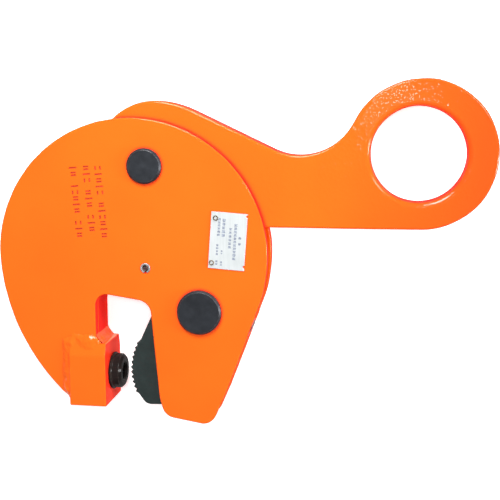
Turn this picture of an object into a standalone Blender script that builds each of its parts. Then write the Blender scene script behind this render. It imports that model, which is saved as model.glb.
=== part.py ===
"""Plate lifting clamp, lying on its back: jaw mouth towards -Y, lifting ring towards +X, front plate up.

Lengths are millimetres here and become metres in the meshes. The origin is under the
centre of the clamp's outline, in the plane that the rear faces rest on.
"""
from math import atan2, cos, degrees, hypot, pi, radians, sin, tan

import bmesh
import bpy
from mathutils import Vector
from mathutils.geometry import tessellate_polygon

MM = 0.001

# Moves the outline's centre onto the origin.
CENTRING = Vector((-0.1, 0.45, 0.0))

# Stack of layers along Z.
REAR_STANDOFF = 3.5
PLATE_THICK = 6.0
SIDE_GAP = 16.0
REAR_Z = (REAR_STANDOFF, REAR_STANDOFF + PLATE_THICK)
FRONT_Z = (REAR_Z[1] + SIDE_GAP, REAR_Z[1] + SIDE_GAP + PLATE_THICK)
MID_Z = (REAR_Z[1] + FRONT_Z[0]) / 2
SWING_THICK = 15.0
SWING_Z = (MID_Z - SWING_THICK / 2, MID_Z + SWING_THICK / 2)
LINK_THICK = 7.0
SLOT_THICK = 7.6
FACE_GAP = 0.1

# Side plate outline: a disc whose two flanks straighten towards the jaw.
DISC_CENTRE = (-69.4, -1.7)
DISC_R = 87.8
THROAT_WALL = -93.7
THROAT_CORNERS = [(THROAT_WALL, -25.8, 7.5), (-57.7, -31.2, 9.5), (-52.0, -95.0, 20),
                  (-48.6, -106.8, 9), (-17.9, -111.8, 9)]
FLANK_LEFT_R = 133.0
FLANK_LEFT_FROM = 5.5
FLANK_LEFT_TO = 44.6
FLANK_RIGHT_R = 6000.0
FLANK_RIGHT_FROM = 20.0
FLANK_RIGHT_TO = 20.6
PLATE_EDGE = 0.8

# Pivots, at rest.
ARM_PIVOT = (-59.5, 56.0)
CAM_PIVOT = (-25.0, -36.5)
CRANK = (25.0, -12.0)
ARM_LINK = (ARM_PIVOT[0] + CRANK[0], ARM_PIVOT[1] + CRANK[1])
CAM_LINK = (CAM_PIVOT[0] + CRANK[0], CAM_PIVOT[1] + CRANK[1])
CLOSING_TRAVEL = 5.0
OPENING_TRAVEL = 28.0

# Pins, bushes, washers and rings, as radii.
ARM_PIN_R = 6.5
ARM_PIN_HEAD_R = 11.2
ARM_PIN_HEAD = 3.0
ARM_BUSH_R = 8.5
CAM_PIN_R = 8.0
CAM_PIN_HEAD_R = 14.25
CAM_PIN_HEAD = 3.4
CAM_BUSH_R = 9.4
LINK_PIN_R = 4.0
LINK_HALF = 6.0
SLOT_HALF = 6.6
RUNNING = 0.06
GROOVE_Z = (1.2, 2.4)
GROOVE_DEPTH = 0.9
WASHER_Z = (2.5, 3.4)
RING_OPENING = 60.0

# Lifting arm.
RING_CENTRE = (112.1, 63.9)
RING_R = 46.1
RING_HOLE_CENTRE = (110.1, 64.1)
RING_HOLE_R = 29.1
CROWN_CENTRE = (-59.6, 25.1)
CROWN_R = 72.0
SLOPE = 25.3
VALLEY_R = 37.5
ARM_BOTTOM_DROP = 0.2
ARM_EDGE = 1.2
HEEL_R = 40.0
HEEL_FROM = 80.0
HEEL_TO = 196.0

# Cam.
TOOTH_CENTRE = (-34.0, -77.85)
TOOTH_R = 38.6
TOOTH_FROM = 150.0
TOOTH_TO = 205.6
TOOTH_COUNT = 11
TOOTH_DEPTH = 1.3

# Jaw block, swivel pad and its screw.
BLOCK_X = (-111.5, -86.8)
BLOCK_Y = (-101.1, -59.5)
BLOCK_Z = (0.0, 2 * MID_Z)
BLOCK_EDGE = 0.9
BLOCK_SLOPE = (5.5, 1.7)
PAD_Y = -81.0
PAD_X = (-86.5, -78.7)
PAD_BASE_R = 12.2
PAD_END_R = 11.3
PAD_CHAMFER = 1.6
PAD_SOCKET_R = 5.4
PAD_FLOOR_X = -83.8
SCREW_R = 3.0
SCREW_HEAD_R = 5.1
SCREW_TIP_X = -103.0
SCREW_END_X = -80.2
HEX_R = 2.9
HEX_DEPTH = 2.4

# Welds around the jaw block.
WELD_START_X = -93.9
WELD_TURN_Y = -92.5
WELD_END_Y = -96.5
WELD_END_LEG = 1.2
WELD_TOP_LEG = 6.0
WELD_SIDE_LEG = 5.6
WELD_RISE = (1.9, 3.0)
WELD_THROAT = (4.3, 6.3)

# Spring and the two pins it hooks on.
SPRING_PIN = (-60.0, -9.0)
SPRING_PIN_R = 3.25
SPRING_PIN_BORE = 2.1
SPRING_PIN_SLIT = 16.0
SPRING_POST = (-52.0, 24.0)
SPRING_POST_R = 2.0
SPRING_R = 2.9
SPRING_WIRE_R = 0.6
SPRING_TURNS = 13
HOOK_LEAD = 3.6
HOOK_SWEEP = 290.0

# Nameplate.
NAME_CENTRE = (-6.5, 9.5)
NAME_SIZE = (23.0, 36.0)
NAME_TURN = -4.0
NAME_Z = (FRONT_Z[1] + FACE_GAP, FRONT_Z[1] + 0.7)
NAME_RIVETS = ((-8.6, 14.0), (-9.4, -14.4))
RIVET_R = 1.6
RIVET_SHANK_R = 0.8
RIVET_HEAD = 0.9

# Origins of the pieces that move, on their own joint's axis.
PIVOTS = {
    **dict.fromkeys(("lifting_arm", "arm_bush", "arm_link_pin", "spring_post"), (*ARM_PIVOT, MID_Z)),
    **dict.fromkeys(("cam", "cam_bush", "cam_link_pin"), (*CAM_PIVOT, MID_Z)),
    "link": (*ARM_LINK, MID_Z),
    "swivel_pad": (PAD_X[0], PAD_Y, MID_Z),
}
SHARP_ANGLE = 35.0

PAINT = ("orange_paint", (0.90, 0.23, 0.02, 1.0), 0.0, 0.35)
BLACK = ("black_steel", (0.045, 0.05, 0.055, 1.0), 0.8, 0.4)
TOOL_STEEL = ("tool_steel", (0.05, 0.055, 0.06, 1.0), 0.8, 0.45)
BRIGHT = ("bright_steel", (0.60, 0.60, 0.62, 1.0), 1.0, 0.3)
BRONZE = ("bronze", (0.55, 0.36, 0.16, 1.0), 1.0, 0.35)
PLATE_ALLOY = ("nameplate_alloy", (0.75, 0.76, 0.76, 1.0), 0.6, 0.4)


def clear_scene():
    for item in list(bpy.data.objects):
        bpy.data.objects.remove(item, do_unlink=True)


def material(spec):
    name, color, metallic, roughness = spec
    found = bpy.data.materials.get(name)
    if found:
        return found
    made = bpy.data.materials.new(name)
    made.use_nodes = True
    shader = made.node_tree.nodes["Principled BSDF"]
    shader.inputs["Base Color"].default_value = color
    shader.inputs["Metallic"].default_value = metallic
    shader.inputs["Roughness"].default_value = roughness
    return made


def add_object(name, points, faces, spec):
    """An object from points in millimetres, with every face turned outwards and its origin on its pivot."""
    pivot = Vector(PIVOTS.get(name, (0, 0, 0)))
    mesh = bpy.data.meshes.new(name)
    mesh.from_pydata([(Vector(p) - pivot) * MM for p in points], [], faces)
    shell = bmesh.new()
    shell.from_mesh(mesh)
    bmesh.ops.recalc_face_normals(shell, faces=shell.faces)
    shell.to_mesh(mesh)
    shell.free()
    mesh.shade_smooth()
    mesh.set_sharp_from_angle(angle=radians(SHARP_ANGLE))
    mesh.materials.append(material(spec))
    made = bpy.data.objects.new(name, mesh)
    made.location = (pivot + CENTRING) * MM
    bpy.context.scene.collection.objects.link(made)
    return made


def arc(centre, radius, start, end, count):
    """Points along an arc, both ends included, angles in degrees."""
    turn = radians(end - start) / count
    first = radians(start)
    return [(centre[0] + radius * cos(first + i * turn), centre[1] + radius * sin(first + i * turn))
            for i in range(count + 1)]


def circle(centre, radius, count=48):
    return arc(centre, radius, 0, 360, count)[:-1]


def offset(centre, distance, angle):
    return (centre[0] + distance * cos(radians(angle)), centre[1] + distance * sin(radians(angle)))


def rounded(corners, step=12.0):
    """A closed outline from (x, y, radius) corners, each rounded by an arc."""
    outline = []
    for i, (x, y, radius) in enumerate(corners):
        here = Vector((x, y))
        if radius == 0:
            outline.append((x, y))
            continue
        back = (Vector(corners[i - 1][:2]) - here).normalized()
        ahead = (Vector(corners[(i + 1) % len(corners)][:2]) - here).normalized()
        half = back.angle(ahead) / 2
        centre = here + (back + ahead).normalized() * (radius / sin(half))
        begin = here + back * (radius / tan(half)) - centre
        start = degrees(atan2(begin.y, begin.x))
        sweep = 180 - 2 * degrees(half)
        if back.x * ahead.y - back.y * ahead.x > 0:
            sweep = -sweep
        outline += arc(centre, radius, start, start + sweep, max(2, round(abs(sweep) / step)))
    return outline


def inset(outline, distance):
    """The outline moved inwards (counter-clockwise) or outwards (clockwise) by distance."""
    moved = []
    count = len(outline)
    for i, point in enumerate(outline):
        here = Vector(point)
        before = (here - Vector(outline[i - 1])).normalized()
        after = (Vector(outline[(i + 1) % count]) - here).normalized()
        normal = Vector((-before.y - after.y, before.x + after.x)).normalized()
        spread = max(0.4, normal.dot(Vector((-after.y, after.x))))
        moved.append(tuple(here + normal * (distance / spread)))
    return moved


def signed_area(outline):
    following = outline[1:] + outline[:1]
    return sum(a[0] * b[1] - b[0] * a[1] for a, b in zip(outline, following)) / 2


def prism(name, outline, low, high, spec, holes=(), chamfer=0.0):
    """A plate between two heights, with through holes and, if asked, a chamfered outer edge."""
    outline = outline if signed_area(outline) > 0 else outline[::-1]
    holes = [hole if signed_area(hole) < 0 else hole[::-1] for hole in holes]
    levels = [(low, 0), (high, 0)]
    if chamfer:
        levels = [(low, chamfer), (low + chamfer, 0), (high - chamfer, 0), (high, chamfer)]
    points, faces, caps = [], [], {0: [], len(levels) - 1: []}
    for loop in [outline] + holes:
        starts = []
        for level, (height, inward) in enumerate(levels):
            starts.append(len(points))
            ring = inset(loop, inward) if inward else loop
            points += [(x, y, height) for x, y in ring]
            if level in caps:
                caps[level].append((starts[-1], ring))
        count = len(loop)
        for below, above in zip(starts, starts[1:]):
            following = [(i + 1) % count for i in range(count)]
            faces += [(below + i, below + j, above + j, above + i) for i, j in enumerate(following)]
    for loops in caps.values():
        index = [start + i for start, ring in loops for i in range(len(ring))]
        for triangle in tessellate_polygon([[Vector((x, y, 0)) for x, y in ring] for _, ring in loops]):
            faces.append(tuple(index[corner] for corner in triangle))
    return add_object(name, points, faces, spec)


def lathe(name, profile, place, spec, count=48):
    """A closed profile of (radius, height) turned about the axis that place maps to the part."""
    points, faces, rings = [], [], []
    for radius, height in profile:
        rings.append((len(points), radius > 0))
        steps = count if radius > 0 else 1
        for i in range(steps):
            turn = 2 * pi * i / count
            points.append(place(radius * cos(turn), radius * sin(turn), height))
    closed = profile[0][0] > 0
    pairs = list(zip(rings, rings[1:] + rings[:1])) if closed else list(zip(rings, rings[1:]))
    for (a, a_round), (b, b_round) in pairs:
        for i in range(count):
            j = (i + 1) % count
            lower = [a + i, a + j] if a_round else [a, a]
            upper = [b + j, b + i] if b_round else [b, b]
            quad = lower + upper
            face = [corner for k, corner in enumerate(quad) if corner not in quad[:k]]
            if len(face) > 2:
                faces.append(tuple(face))
    return add_object(name, points, faces, spec)


def upright(centre):
    return lambda x, y, h: (centre[0] + x, centre[1] + y, h)


def along_x(x, y, h):
    """Axis of the swivel pad."""
    return (h, PAD_Y + x, MID_Z + y)


def tube(name, path, radius, spec, sides=6):
    """A round wire along a path, closed at both ends."""
    points, faces = [], []
    path = [Vector(p) for p in path]
    side = Vector((0, 0, 1))
    for i, here in enumerate(path):
        along = (path[min(i + 1, len(path) - 1)] - path[max(i - 1, 0)]).normalized()
        side = (side - along * side.dot(along)).normalized()
        other = along.cross(side)
        for k in range(sides):
            turn = 2 * pi * k / sides
            points.append(here + side * (radius * cos(turn)) + other * (radius * sin(turn)))
    for i in range(len(path) - 1):
        for k in range(sides):
            a, b = i * sides + k, i * sides + (k + 1) % sides
            faces.append((a, b, b + sides, a + sides))
    last = (len(path) - 1) * sides
    faces += [tuple(range(sides)), tuple(range(last, last + sides))]
    return add_object(name, points, faces, spec)


def cut(target, cutter):
    """Takes the cutter's volume out of the target."""
    cutter.hide_render = True
    cutter.display_type = "WIRE"
    made = target.modifiers.new(cutter.name, "BOOLEAN")
    made.operation = "DIFFERENCE"
    made.solver = "EXACT"
    made.object = cutter


def flank_centre(side, start, radius):
    """Centre of a flank arc that leaves the disc tangentially, start degrees below its middle."""
    reach = DISC_R - radius
    across, down = reach * cos(radians(start)), reach * sin(radians(start))
    return (DISC_CENTRE[0] + side * across, DISC_CENTRE[1] - down)


def plate_flanks():
    """The disc and its two flanks, from the right toe over the top to the left tip."""
    right = flank_centre(1, FLANK_RIGHT_FROM, FLANK_RIGHT_R)
    left = flank_centre(-1, FLANK_LEFT_FROM, FLANK_LEFT_R)
    return (arc(right, FLANK_RIGHT_R, -FLANK_RIGHT_TO, -FLANK_RIGHT_FROM, 8)
            + arc(DISC_CENTRE, DISC_R, -FLANK_RIGHT_FROM, 180 + FLANK_LEFT_FROM, 60)[1:-1]
            + arc(left, FLANK_LEFT_R, 180 + FLANK_LEFT_FROM, 180 + FLANK_LEFT_TO, 14))


def throat_outline():
    """From the block's top edge up the throat, over its crown and down the leg to the toe."""
    foot = (THROAT_WALL, BLOCK_Y[1] + FACE_GAP, 0)
    toe = plate_flanks()[0]
    closing = [(toe[0], toe[1], 0), (toe[0], 0, 0), (THROAT_WALL, 0, 0)]
    return rounded([foot, *THROAT_CORNERS, *closing])[:-3]


def plate_outline():
    """Counter-clockwise, starting at the plate's lower left tip."""
    tip = plate_flanks()[-1]
    left = BLOCK_X[0] - FACE_GAP
    seat = [(tip[0] + 1.2, tip[1] - 1.4), (left, -97.5), (left, BLOCK_Y[1] + FACE_GAP)]
    return seat + throat_outline() + plate_flanks()


def side_plates():
    holes = [circle(ARM_PIVOT, ARM_PIN_R + FACE_GAP), circle(CAM_PIVOT, CAM_PIN_R + FACE_GAP),
             circle(SPRING_PIN, SPRING_PIN_R + RUNNING, 24)]
    rivet_holes = [circle(on_nameplate(*spot), RIVET_SHANK_R + RUNNING, 12) for spot in NAME_RIVETS]
    prism("front_side_plate", plate_outline(), *FRONT_Z, PAINT, holes + rivet_holes, PLATE_EDGE)
    prism("rear_side_plate", plate_outline(), *REAR_Z, PAINT, holes, PLATE_EDGE)


def throat_spacer():
    """Thick plate that closes the jaw side between the side plates, flush in the throat."""
    setback = 3.0
    left = flank_centre(-1, FLANK_LEFT_FROM, FLANK_LEFT_R)
    edge = arc(DISC_CENTRE, DISC_R - setback, 176, 180 + FLANK_LEFT_FROM, 4)[:-1]
    edge += arc(left, FLANK_LEFT_R - setback, 180 + FLANK_LEFT_FROM, 180 + FLANK_LEFT_TO - 2, 12)
    block_left = BLOCK_X[0] - FACE_GAP
    throat = throat_outline()[:9]
    top = rounded([(throat[-1][0], throat[-1][1], 0), (-70.0, -16.0, 4), (-82.0, -2.0, 12),
                   (-128.0, 6.0, 20), (edge[0][0], edge[0][1], 0), (-150.0, -60.0, 0)], 15)[:-1]
    outline = [(block_left, -95.5), (block_left, BLOCK_Y[1] + FACE_GAP)] + throat[:-1] + top + edge[1:]
    prism("throat_spacer", outline, REAR_Z[1] + FACE_GAP, FRONT_Z[0] - FACE_GAP, PAINT)


def jaw_block():
    """Block welded across the plate ends: sloped shoulders at the top, a bore for the pad screw."""
    run, drop = BLOCK_SLOPE
    low_y, high_y = BLOCK_Y
    low_z, high_z = BLOCK_Z
    edge = BLOCK_EDGE
    section = [(low_y, low_z + edge), (low_y + edge, low_z), (high_y - run, low_z), (high_y, low_z + drop),
               (high_y, high_z - drop), (high_y - run, high_z),
               (low_y + edge, high_z), (low_y, high_z - edge)]
    points, faces = [], []
    left, right = BLOCK_X
    for x, inward in ((left, edge), (left + edge, 0), (right - edge, 0), (right, edge)):
        ring = inset(section, inward) if inward else section
        points += [(x, y, z) for y, z in ring]
    count = len(section)
    for start in range(0, 3 * count, count):
        faces += [(start + i, start + (i + 1) % count, start + count + (i + 1) % count, start + count + i)
                  for i in range(count)]
    faces += [tuple(range(count)), tuple(range(3 * count, 4 * count))]
    block = add_object("jaw_block", points, faces, PAINT)
    bore = lathe("screw_bore", [(0, SCREW_TIP_X - 1), (SCREW_R + FACE_GAP, SCREW_TIP_X - 1),
                                (SCREW_R + FACE_GAP, BLOCK_X[1] + 2), (0, BLOCK_X[1] + 2)], along_x, PAINT, 24)
    cut(block, bore)


def weld_beads():
    """Fillets that run over the top and down the left of the block, on each outer plate face."""
    block_left, block_top = BLOCK_X[0] - FACE_GAP, BLOCK_Y[1] + FACE_GAP
    corner = (block_left - WELD_SIDE_LEG, block_top + WELD_TOP_LEG)
    for name, face, way in (("weld_bead_front", FRONT_Z[1], 1), ("weld_bead_rear", REAR_Z[0], -1)):
        foot = face + way * FACE_GAP
        stations = [((WELD_START_X, block_top), (WELD_START_X, corner[1]), WELD_RISE[0]),
                    ((block_left, block_top), corner, WELD_RISE[0]),
                    ((block_left, WELD_TURN_Y), (corner[0], WELD_TURN_Y), WELD_RISE[1]),
                    ((block_left, WELD_END_Y), (block_left - WELD_END_LEG, WELD_END_Y), WELD_RISE[1])]
        points, faces = [], []
        for inner, outer, rise in stations:
            points += [(*inner, foot), (*outer, foot), (*inner, foot + way * rise)]
        last = len(points) - 3
        for start in range(0, last, 3):
            for i, j in ((0, 1), (1, 2), (2, 0)):
                faces.append((start + i, start + j, start + 3 + j, start + 3 + i))
        faces += [(0, 1, 2), (last, last + 1, last + 2)]
        add_object(name, points, faces, PAINT)


def throat_weld():
    """Fillet between the throat wall and the ledge of the block's top."""
    wall, ledge = THROAT_WALL + FACE_GAP, BLOCK_Y[1] + FACE_GAP
    run, rise = WELD_THROAT
    section = [(wall, ledge), (wall + run, ledge), (wall, ledge + rise)]
    prism("throat_weld", section, REAR_Z[0] + 1, FRONT_Z[1] - 1, PAINT)


def swivel_pad():
    start, end = PAD_X
    profile = [(SCREW_R + 0.3, start), (PAD_BASE_R, start), (PAD_BASE_R, start + 1.2),
               (PAD_END_R, end - PAD_CHAMFER), (PAD_END_R - PAD_CHAMFER, end),
               (PAD_SOCKET_R + 0.8, end), (PAD_SOCKET_R, end - 0.8),
               (PAD_SOCKET_R, PAD_FLOOR_X), (SCREW_R + 0.3, PAD_FLOOR_X)]
    lathe("swivel_pad", profile, along_x, BLACK)


def pad_screw():
    """Socket screw: its head sits in the pad's counterbore and its hexagon faces the jaw."""
    under = PAD_FLOOR_X + 0.15
    profile = [(0, SCREW_TIP_X), (SCREW_R - 0.8, SCREW_TIP_X), (SCREW_R, SCREW_TIP_X + 0.8),
               (SCREW_R, under), (SCREW_HEAD_R, under), (SCREW_HEAD_R, SCREW_END_X - 0.5),
               (SCREW_HEAD_R - 0.5, SCREW_END_X), (0, SCREW_END_X)]
    screw = lathe("pad_screw", profile, along_x, BLACK, 24)
    bottom, mouth = SCREW_END_X - HEX_DEPTH, SCREW_END_X + 1
    socket = [(0, bottom), (HEX_R, bottom), (HEX_R, mouth), (0, mouth)]
    cut(screw, lathe("screw_socket", socket, along_x, BLACK, 6))


def valley_centre():
    """Centre of the hollow that is tangent to the arm's sloping edge and to the ring."""
    along = Vector((cos(radians(SLOPE)), -sin(radians(SLOPE))))
    normal = Vector((sin(radians(SLOPE)), cos(radians(SLOPE))))
    ring = Vector(RING_CENTRE)
    height = normal.dot(Vector(CROWN_CENTRE)) + CROWN_R + VALLEY_R
    reach = RING_R + VALLEY_R
    back = (reach ** 2 - (height - ring.dot(normal)) ** 2) ** 0.5
    return tuple(normal * height + along * (ring.dot(along) - back))


def arm_outline():
    valley = valley_centre()
    to_ring = degrees(atan2(RING_CENTRE[1] - valley[1], RING_CENTRE[0] - valley[0]))
    bottom = RING_CENTRE[1] - RING_R - ARM_BOTTOM_DROP
    heel_centre = offset(CROWN_CENTRE, CROWN_R - HEEL_R, HEEL_FROM)
    heel = arc(heel_centre, HEEL_R, HEEL_FROM, HEEL_TO, 18)
    toe = rounded([(*heel[-1], 0), (-80.6, bottom, 20), (-40.0, bottom, 0)])[1:-1]
    return (heel + toe + arc(RING_CENTRE, RING_R, -90, 180 + to_ring, 66)
            + arc(valley, VALLEY_R, to_ring, -90 - SLOPE, 14)[1:]
            + arc(CROWN_CENTRE, CROWN_R, 90 - SLOPE, HEEL_FROM, 4)[:-1])


def wedge(centre, from_angle, to_angle, length):
    """Outline swept by the link's bar about one of its pins, with clearance."""
    end = arc(centre, SLOT_HALF, to_angle + 90, from_angle + 270, 12)
    return end + [offset(end[-1], length, from_angle), offset(end[0], length, to_angle)]


def link_angle():
    """Direction from the cam's link pin to the arm's link pin, in degrees."""
    return degrees(atan2(ARM_LINK[1] - CAM_LINK[1], ARM_LINK[0] - CAM_LINK[0]))


def lifting_arm():
    holes = [circle(ARM_PIVOT, ARM_BUSH_R + RUNNING), circle(ARM_LINK, LINK_PIN_R + RUNNING, 32),
             circle(SPRING_POST, SPRING_POST_R + RUNNING, 24), circle(RING_HOLE_CENTRE, RING_HOLE_R, 72)]
    arm = prism("lifting_arm", arm_outline(), *SWING_Z, PAINT, holes, ARM_EDGE)
    down = link_angle() - 180
    slot_z = (MID_Z - SLOT_THICK / 2, MID_Z + SLOT_THICK / 2)
    swing = wedge(ARM_LINK, down - OPENING_TRAVEL, down + CLOSING_TRAVEL, 50)
    hook = rounded([(-45.5, 5, 0), (-45.5, 30.5, 5), (-58, 31.5, 5), (-77, 21, 2), (-77, 5, 0)])
    cut(arm, prism("arm_link_slot", swing, *slot_z, PAINT))
    cut(arm, prism("arm_hook_slot", hook, *slot_z, PAINT))


def teeth():
    """Tooth tips and roots down the gripping arc."""
    pitch = (TOOTH_TO - TOOTH_FROM) / TOOTH_COUNT
    points = []
    for i in range(TOOTH_COUNT):
        angle = TOOTH_FROM + i * pitch
        points.append(offset(TOOTH_CENTRE, TOOTH_R - TOOTH_DEPTH, angle))
        points.append(offset(TOOTH_CENTRE, TOOTH_R, angle + 0.45 * pitch))
    return points + [offset(TOOTH_CENTRE, TOOTH_R - TOOTH_DEPTH, TOOTH_TO)]


def cam_outline():
    grip = teeth()
    rest = [(grip[-1][0], grip[-1][1], 0), (-62.3, -101.2, 6), (-44.5, -100.6, 12), (2.5, -58.0, 8),
            (8.6, -46.0, 8), (-2.0, -14.0, 16), (-40.0, -10.0, 18), (-51.6, -27.0, 6), (*grip[0], 0)]
    return grip + rounded(rest)[1:-1]


def cam():
    holes = [circle(CAM_PIVOT, CAM_BUSH_R + RUNNING), circle(CAM_LINK, LINK_PIN_R + RUNNING, 32)]
    body = prism("cam", cam_outline(), *SWING_Z, TOOL_STEEL, holes)
    up = link_angle()
    slot_z = (MID_Z - SLOT_THICK / 2, MID_Z + SLOT_THICK / 2)
    swing = wedge(CAM_LINK, up - OPENING_TRAVEL, up + CLOSING_TRAVEL, 55)
    cut(body, prism("cam_link_slot", swing, *slot_z, TOOL_STEEL))


def link():
    up = link_angle()
    outline = (arc(ARM_LINK, LINK_HALF, up - 90, up + 90, 14)
               + arc(CAM_LINK, LINK_HALF, up + 90, up + 270, 14))
    holes = [circle(ARM_LINK, LINK_PIN_R + RUNNING, 32), circle(CAM_LINK, LINK_PIN_R + RUNNING, 32)]
    prism("link", outline, MID_Z - LINK_THICK / 2, MID_Z + LINK_THICK / 2, TOOL_STEEL, holes, 0.5)


def headed_pin(name, centre, radius, head_r, head):
    """Round-headed pin through both side plates, grooved for its retaining ring."""
    seat = FRONT_Z[1] + FACE_GAP
    top = seat + head
    neck = radius - GROOVE_DEPTH
    profile = [(0, 0), (radius - 0.8, 0), (radius, 0.8), (radius, GROOVE_Z[0]), (neck, GROOVE_Z[0]),
               (neck, GROOVE_Z[1]), (radius, GROOVE_Z[1]), (radius, seat), (head_r, seat),
               (head_r, top - 1.0), (head_r - 1.0, top), (0, top)]
    lathe(name, profile, upright(centre), BLACK)


def washer(name, centre, radius):
    inner, outer = radius + 0.2, radius + 4.2
    profile = [(inner, WASHER_Z[0]), (outer, WASHER_Z[0]), (outer, WASHER_Z[1]), (inner, WASHER_Z[1])]
    lathe(name, profile, upright(centre), BRIGHT)


def retaining_ring(name, centre, radius, opening=RING_OPENING):
    """Open spring ring in the pin's groove."""
    inner, outer = radius - GROOVE_DEPTH + RUNNING, radius + 1.9
    start, end = -90 + opening / 2, 270 - opening / 2
    outline = arc(centre, outer, start, end, 36) + arc(centre, inner, end, start, 36)
    prism(name, outline, GROOVE_Z[0] + RUNNING, GROOVE_Z[1] - RUNNING, BLACK)


def bush(name, centre, outer, inner):
    low, high = SWING_Z[0] + 0.2, SWING_Z[1] - 0.2
    profile = [(inner + RUNNING, low), (outer, low), (outer, high), (inner + RUNNING, high)]
    lathe(name, profile, upright(centre), BRONZE)


def link_pin(name, centre, radius, spec=BRIGHT):
    low, high = SWING_Z[0] + 0.2, SWING_Z[1] - 0.2
    edge = 0.5
    profile = [(0, low), (radius - edge, low), (radius, low + edge),
               (radius, high - edge), (radius - edge, high), (0, high)]
    lathe(name, profile, upright(centre), spec, 32)


def pivot_hardware():
    headed_pin("arm_pin", ARM_PIVOT, ARM_PIN_R, ARM_PIN_HEAD_R, ARM_PIN_HEAD)
    washer("arm_pin_washer", ARM_PIVOT, ARM_PIN_R)
    retaining_ring("arm_pin_ring", ARM_PIVOT, ARM_PIN_R)
    bush("arm_bush", ARM_PIVOT, ARM_BUSH_R, ARM_PIN_R)
    headed_pin("cam_pin", CAM_PIVOT, CAM_PIN_R, CAM_PIN_HEAD_R, CAM_PIN_HEAD)
    washer("cam_pin_washer", CAM_PIVOT, CAM_PIN_R)
    retaining_ring("cam_pin_ring", CAM_PIVOT, CAM_PIN_R)
    bush("cam_bush", CAM_PIVOT, CAM_BUSH_R, CAM_PIN_R)
    link_pin("arm_link_pin", ARM_LINK, LINK_PIN_R)
    link_pin("cam_link_pin", CAM_LINK, LINK_PIN_R)
    link_pin("spring_post", SPRING_POST, SPRING_POST_R)


def spring_pin():
    """Rolled pin with an open seam, through both side plates."""
    half = SPRING_PIN_SLIT
    start, end = -90 + half, 270 - half
    outline = arc(SPRING_PIN, SPRING_PIN_R, start, end, 22) + arc(SPRING_PIN, SPRING_PIN_BORE, end, start, 22)
    prism("spring_pin", outline, REAR_Z[0] - 0.3, FRONT_Z[1] + 0.4, BRIGHT)


def tension_spring():
    """Close-wound spring with an open hook round the spring pin and one round the arm's post."""
    start = Vector(SPRING_PIN)
    axis = Vector(SPRING_POST) - start
    length = axis.length
    along = axis / length
    across = Vector((-along.y, along.x))
    clear = SPRING_WIRE_R + 0.3
    low_hook, high_hook = SPRING_PIN_R + clear, SPRING_POST_R + clear
    begin, end = low_hook + HOOK_LEAD, length - high_hook - HOOK_LEAD
    gap = (360 - HOOK_SWEEP) / 2
    local = [(u, w, 0) for u, w in arc((0, 0), low_hook, gap, gap + HOOK_SWEEP, 20)]
    per_turn = 12
    steps = SPRING_TURNS * per_turn
    for i in range(steps + 1):
        turn = 2 * pi * i / per_turn
        local.append((begin + (end - begin) * i / steps, -SPRING_R * cos(turn), SPRING_R * sin(turn)))
    local += [(u, w, 0) for u, w in arc((length, 0), high_hook, 180 + gap, 180 + gap + HOOK_SWEEP, 16)]
    path = []
    for u, w, z in local:
        spot = start + along * u + across * w
        path.append((spot.x, spot.y, MID_Z + z))
    tube("tension_spring", path, SPRING_WIRE_R, BRIGHT)


def on_nameplate(u, v):
    """A point given across and up the nameplate, in the part's X and Y."""
    turn = radians(NAME_TURN)
    return (NAME_CENTRE[0] + u * cos(turn) - v * sin(turn), NAME_CENTRE[1] + u * sin(turn) + v * cos(turn))


def nameplate():
    width, height = NAME_SIZE
    half_w, half_h = width / 2, height / 2
    corners = [(-half_w, -half_h), (half_w, -half_h), (half_w, half_h), (-half_w, half_h)]
    outline = rounded([(*on_nameplate(u, v), 0.8) for u, v in corners], 30)
    holes = [circle(on_nameplate(*spot), RIVET_SHANK_R + RUNNING, 12) for spot in NAME_RIVETS]
    prism("nameplate", outline, *NAME_Z, PLATE_ALLOY, holes)
    seat = NAME_Z[1] + FACE_GAP
    for i, spot in enumerate(NAME_RIVETS, 1):
        profile = [(0, FRONT_Z[0] + 2), (RIVET_SHANK_R, FRONT_Z[0] + 2), (RIVET_SHANK_R, seat), (RIVET_R, seat),
                   (RIVET_R * 0.8, seat + RIVET_HEAD * 0.7), (RIVET_R * 0.4, seat + RIVET_HEAD), (0, seat + RIVET_HEAD)]
        lathe(f"nameplate_rivet_{i}", profile, upright(on_nameplate(*spot)), BRIGHT, 12)


clear_scene()
side_plates()
throat_spacer()
jaw_block()
weld_beads()
throat_weld()
swivel_pad()
pad_screw()
lifting_arm()
cam()
link()
pivot_hardware()
spring_pin()
tension_spring()
nameplate()
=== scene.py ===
"""Looks for the plate lifting clamp.

Lengths are millimetres in the part's drawing frame: jaw mouth towards -Y, lifting ring
towards +X, front plate up. Adding SHIFT and scaling by MM gives the shared frame in metres,
which materials, lights and camera use.
"""
import random
from math import atan2, cos, degrees, hypot, pi, radians, sin, tan

import bpy
from mathutils import Matrix, Vector, noise
from mathutils.geometry import intersect_line_line_2d, tessellate_polygon


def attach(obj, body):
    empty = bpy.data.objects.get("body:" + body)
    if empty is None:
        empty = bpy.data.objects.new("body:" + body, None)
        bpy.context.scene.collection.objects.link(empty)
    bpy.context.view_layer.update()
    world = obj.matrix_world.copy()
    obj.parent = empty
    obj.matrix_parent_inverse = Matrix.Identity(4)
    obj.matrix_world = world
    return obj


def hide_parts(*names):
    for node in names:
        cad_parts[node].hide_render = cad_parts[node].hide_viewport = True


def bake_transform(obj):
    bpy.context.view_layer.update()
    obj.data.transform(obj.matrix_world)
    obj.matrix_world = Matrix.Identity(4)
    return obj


MM = 0.001
SHIFT = Vector((-0.1, 0.45, 0.0))

# Layers along Z.
REAR_Z = (3.5, 9.5)
FRONT_Z = (25.5, 31.5)
MID_Z = 17.5
SWING_Z = (10.0, 25.0)
LINK_Z = (14.0, 21.0)
SLOT_Z = (13.7, 21.3)
FACE_GAP = 0.1

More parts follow.
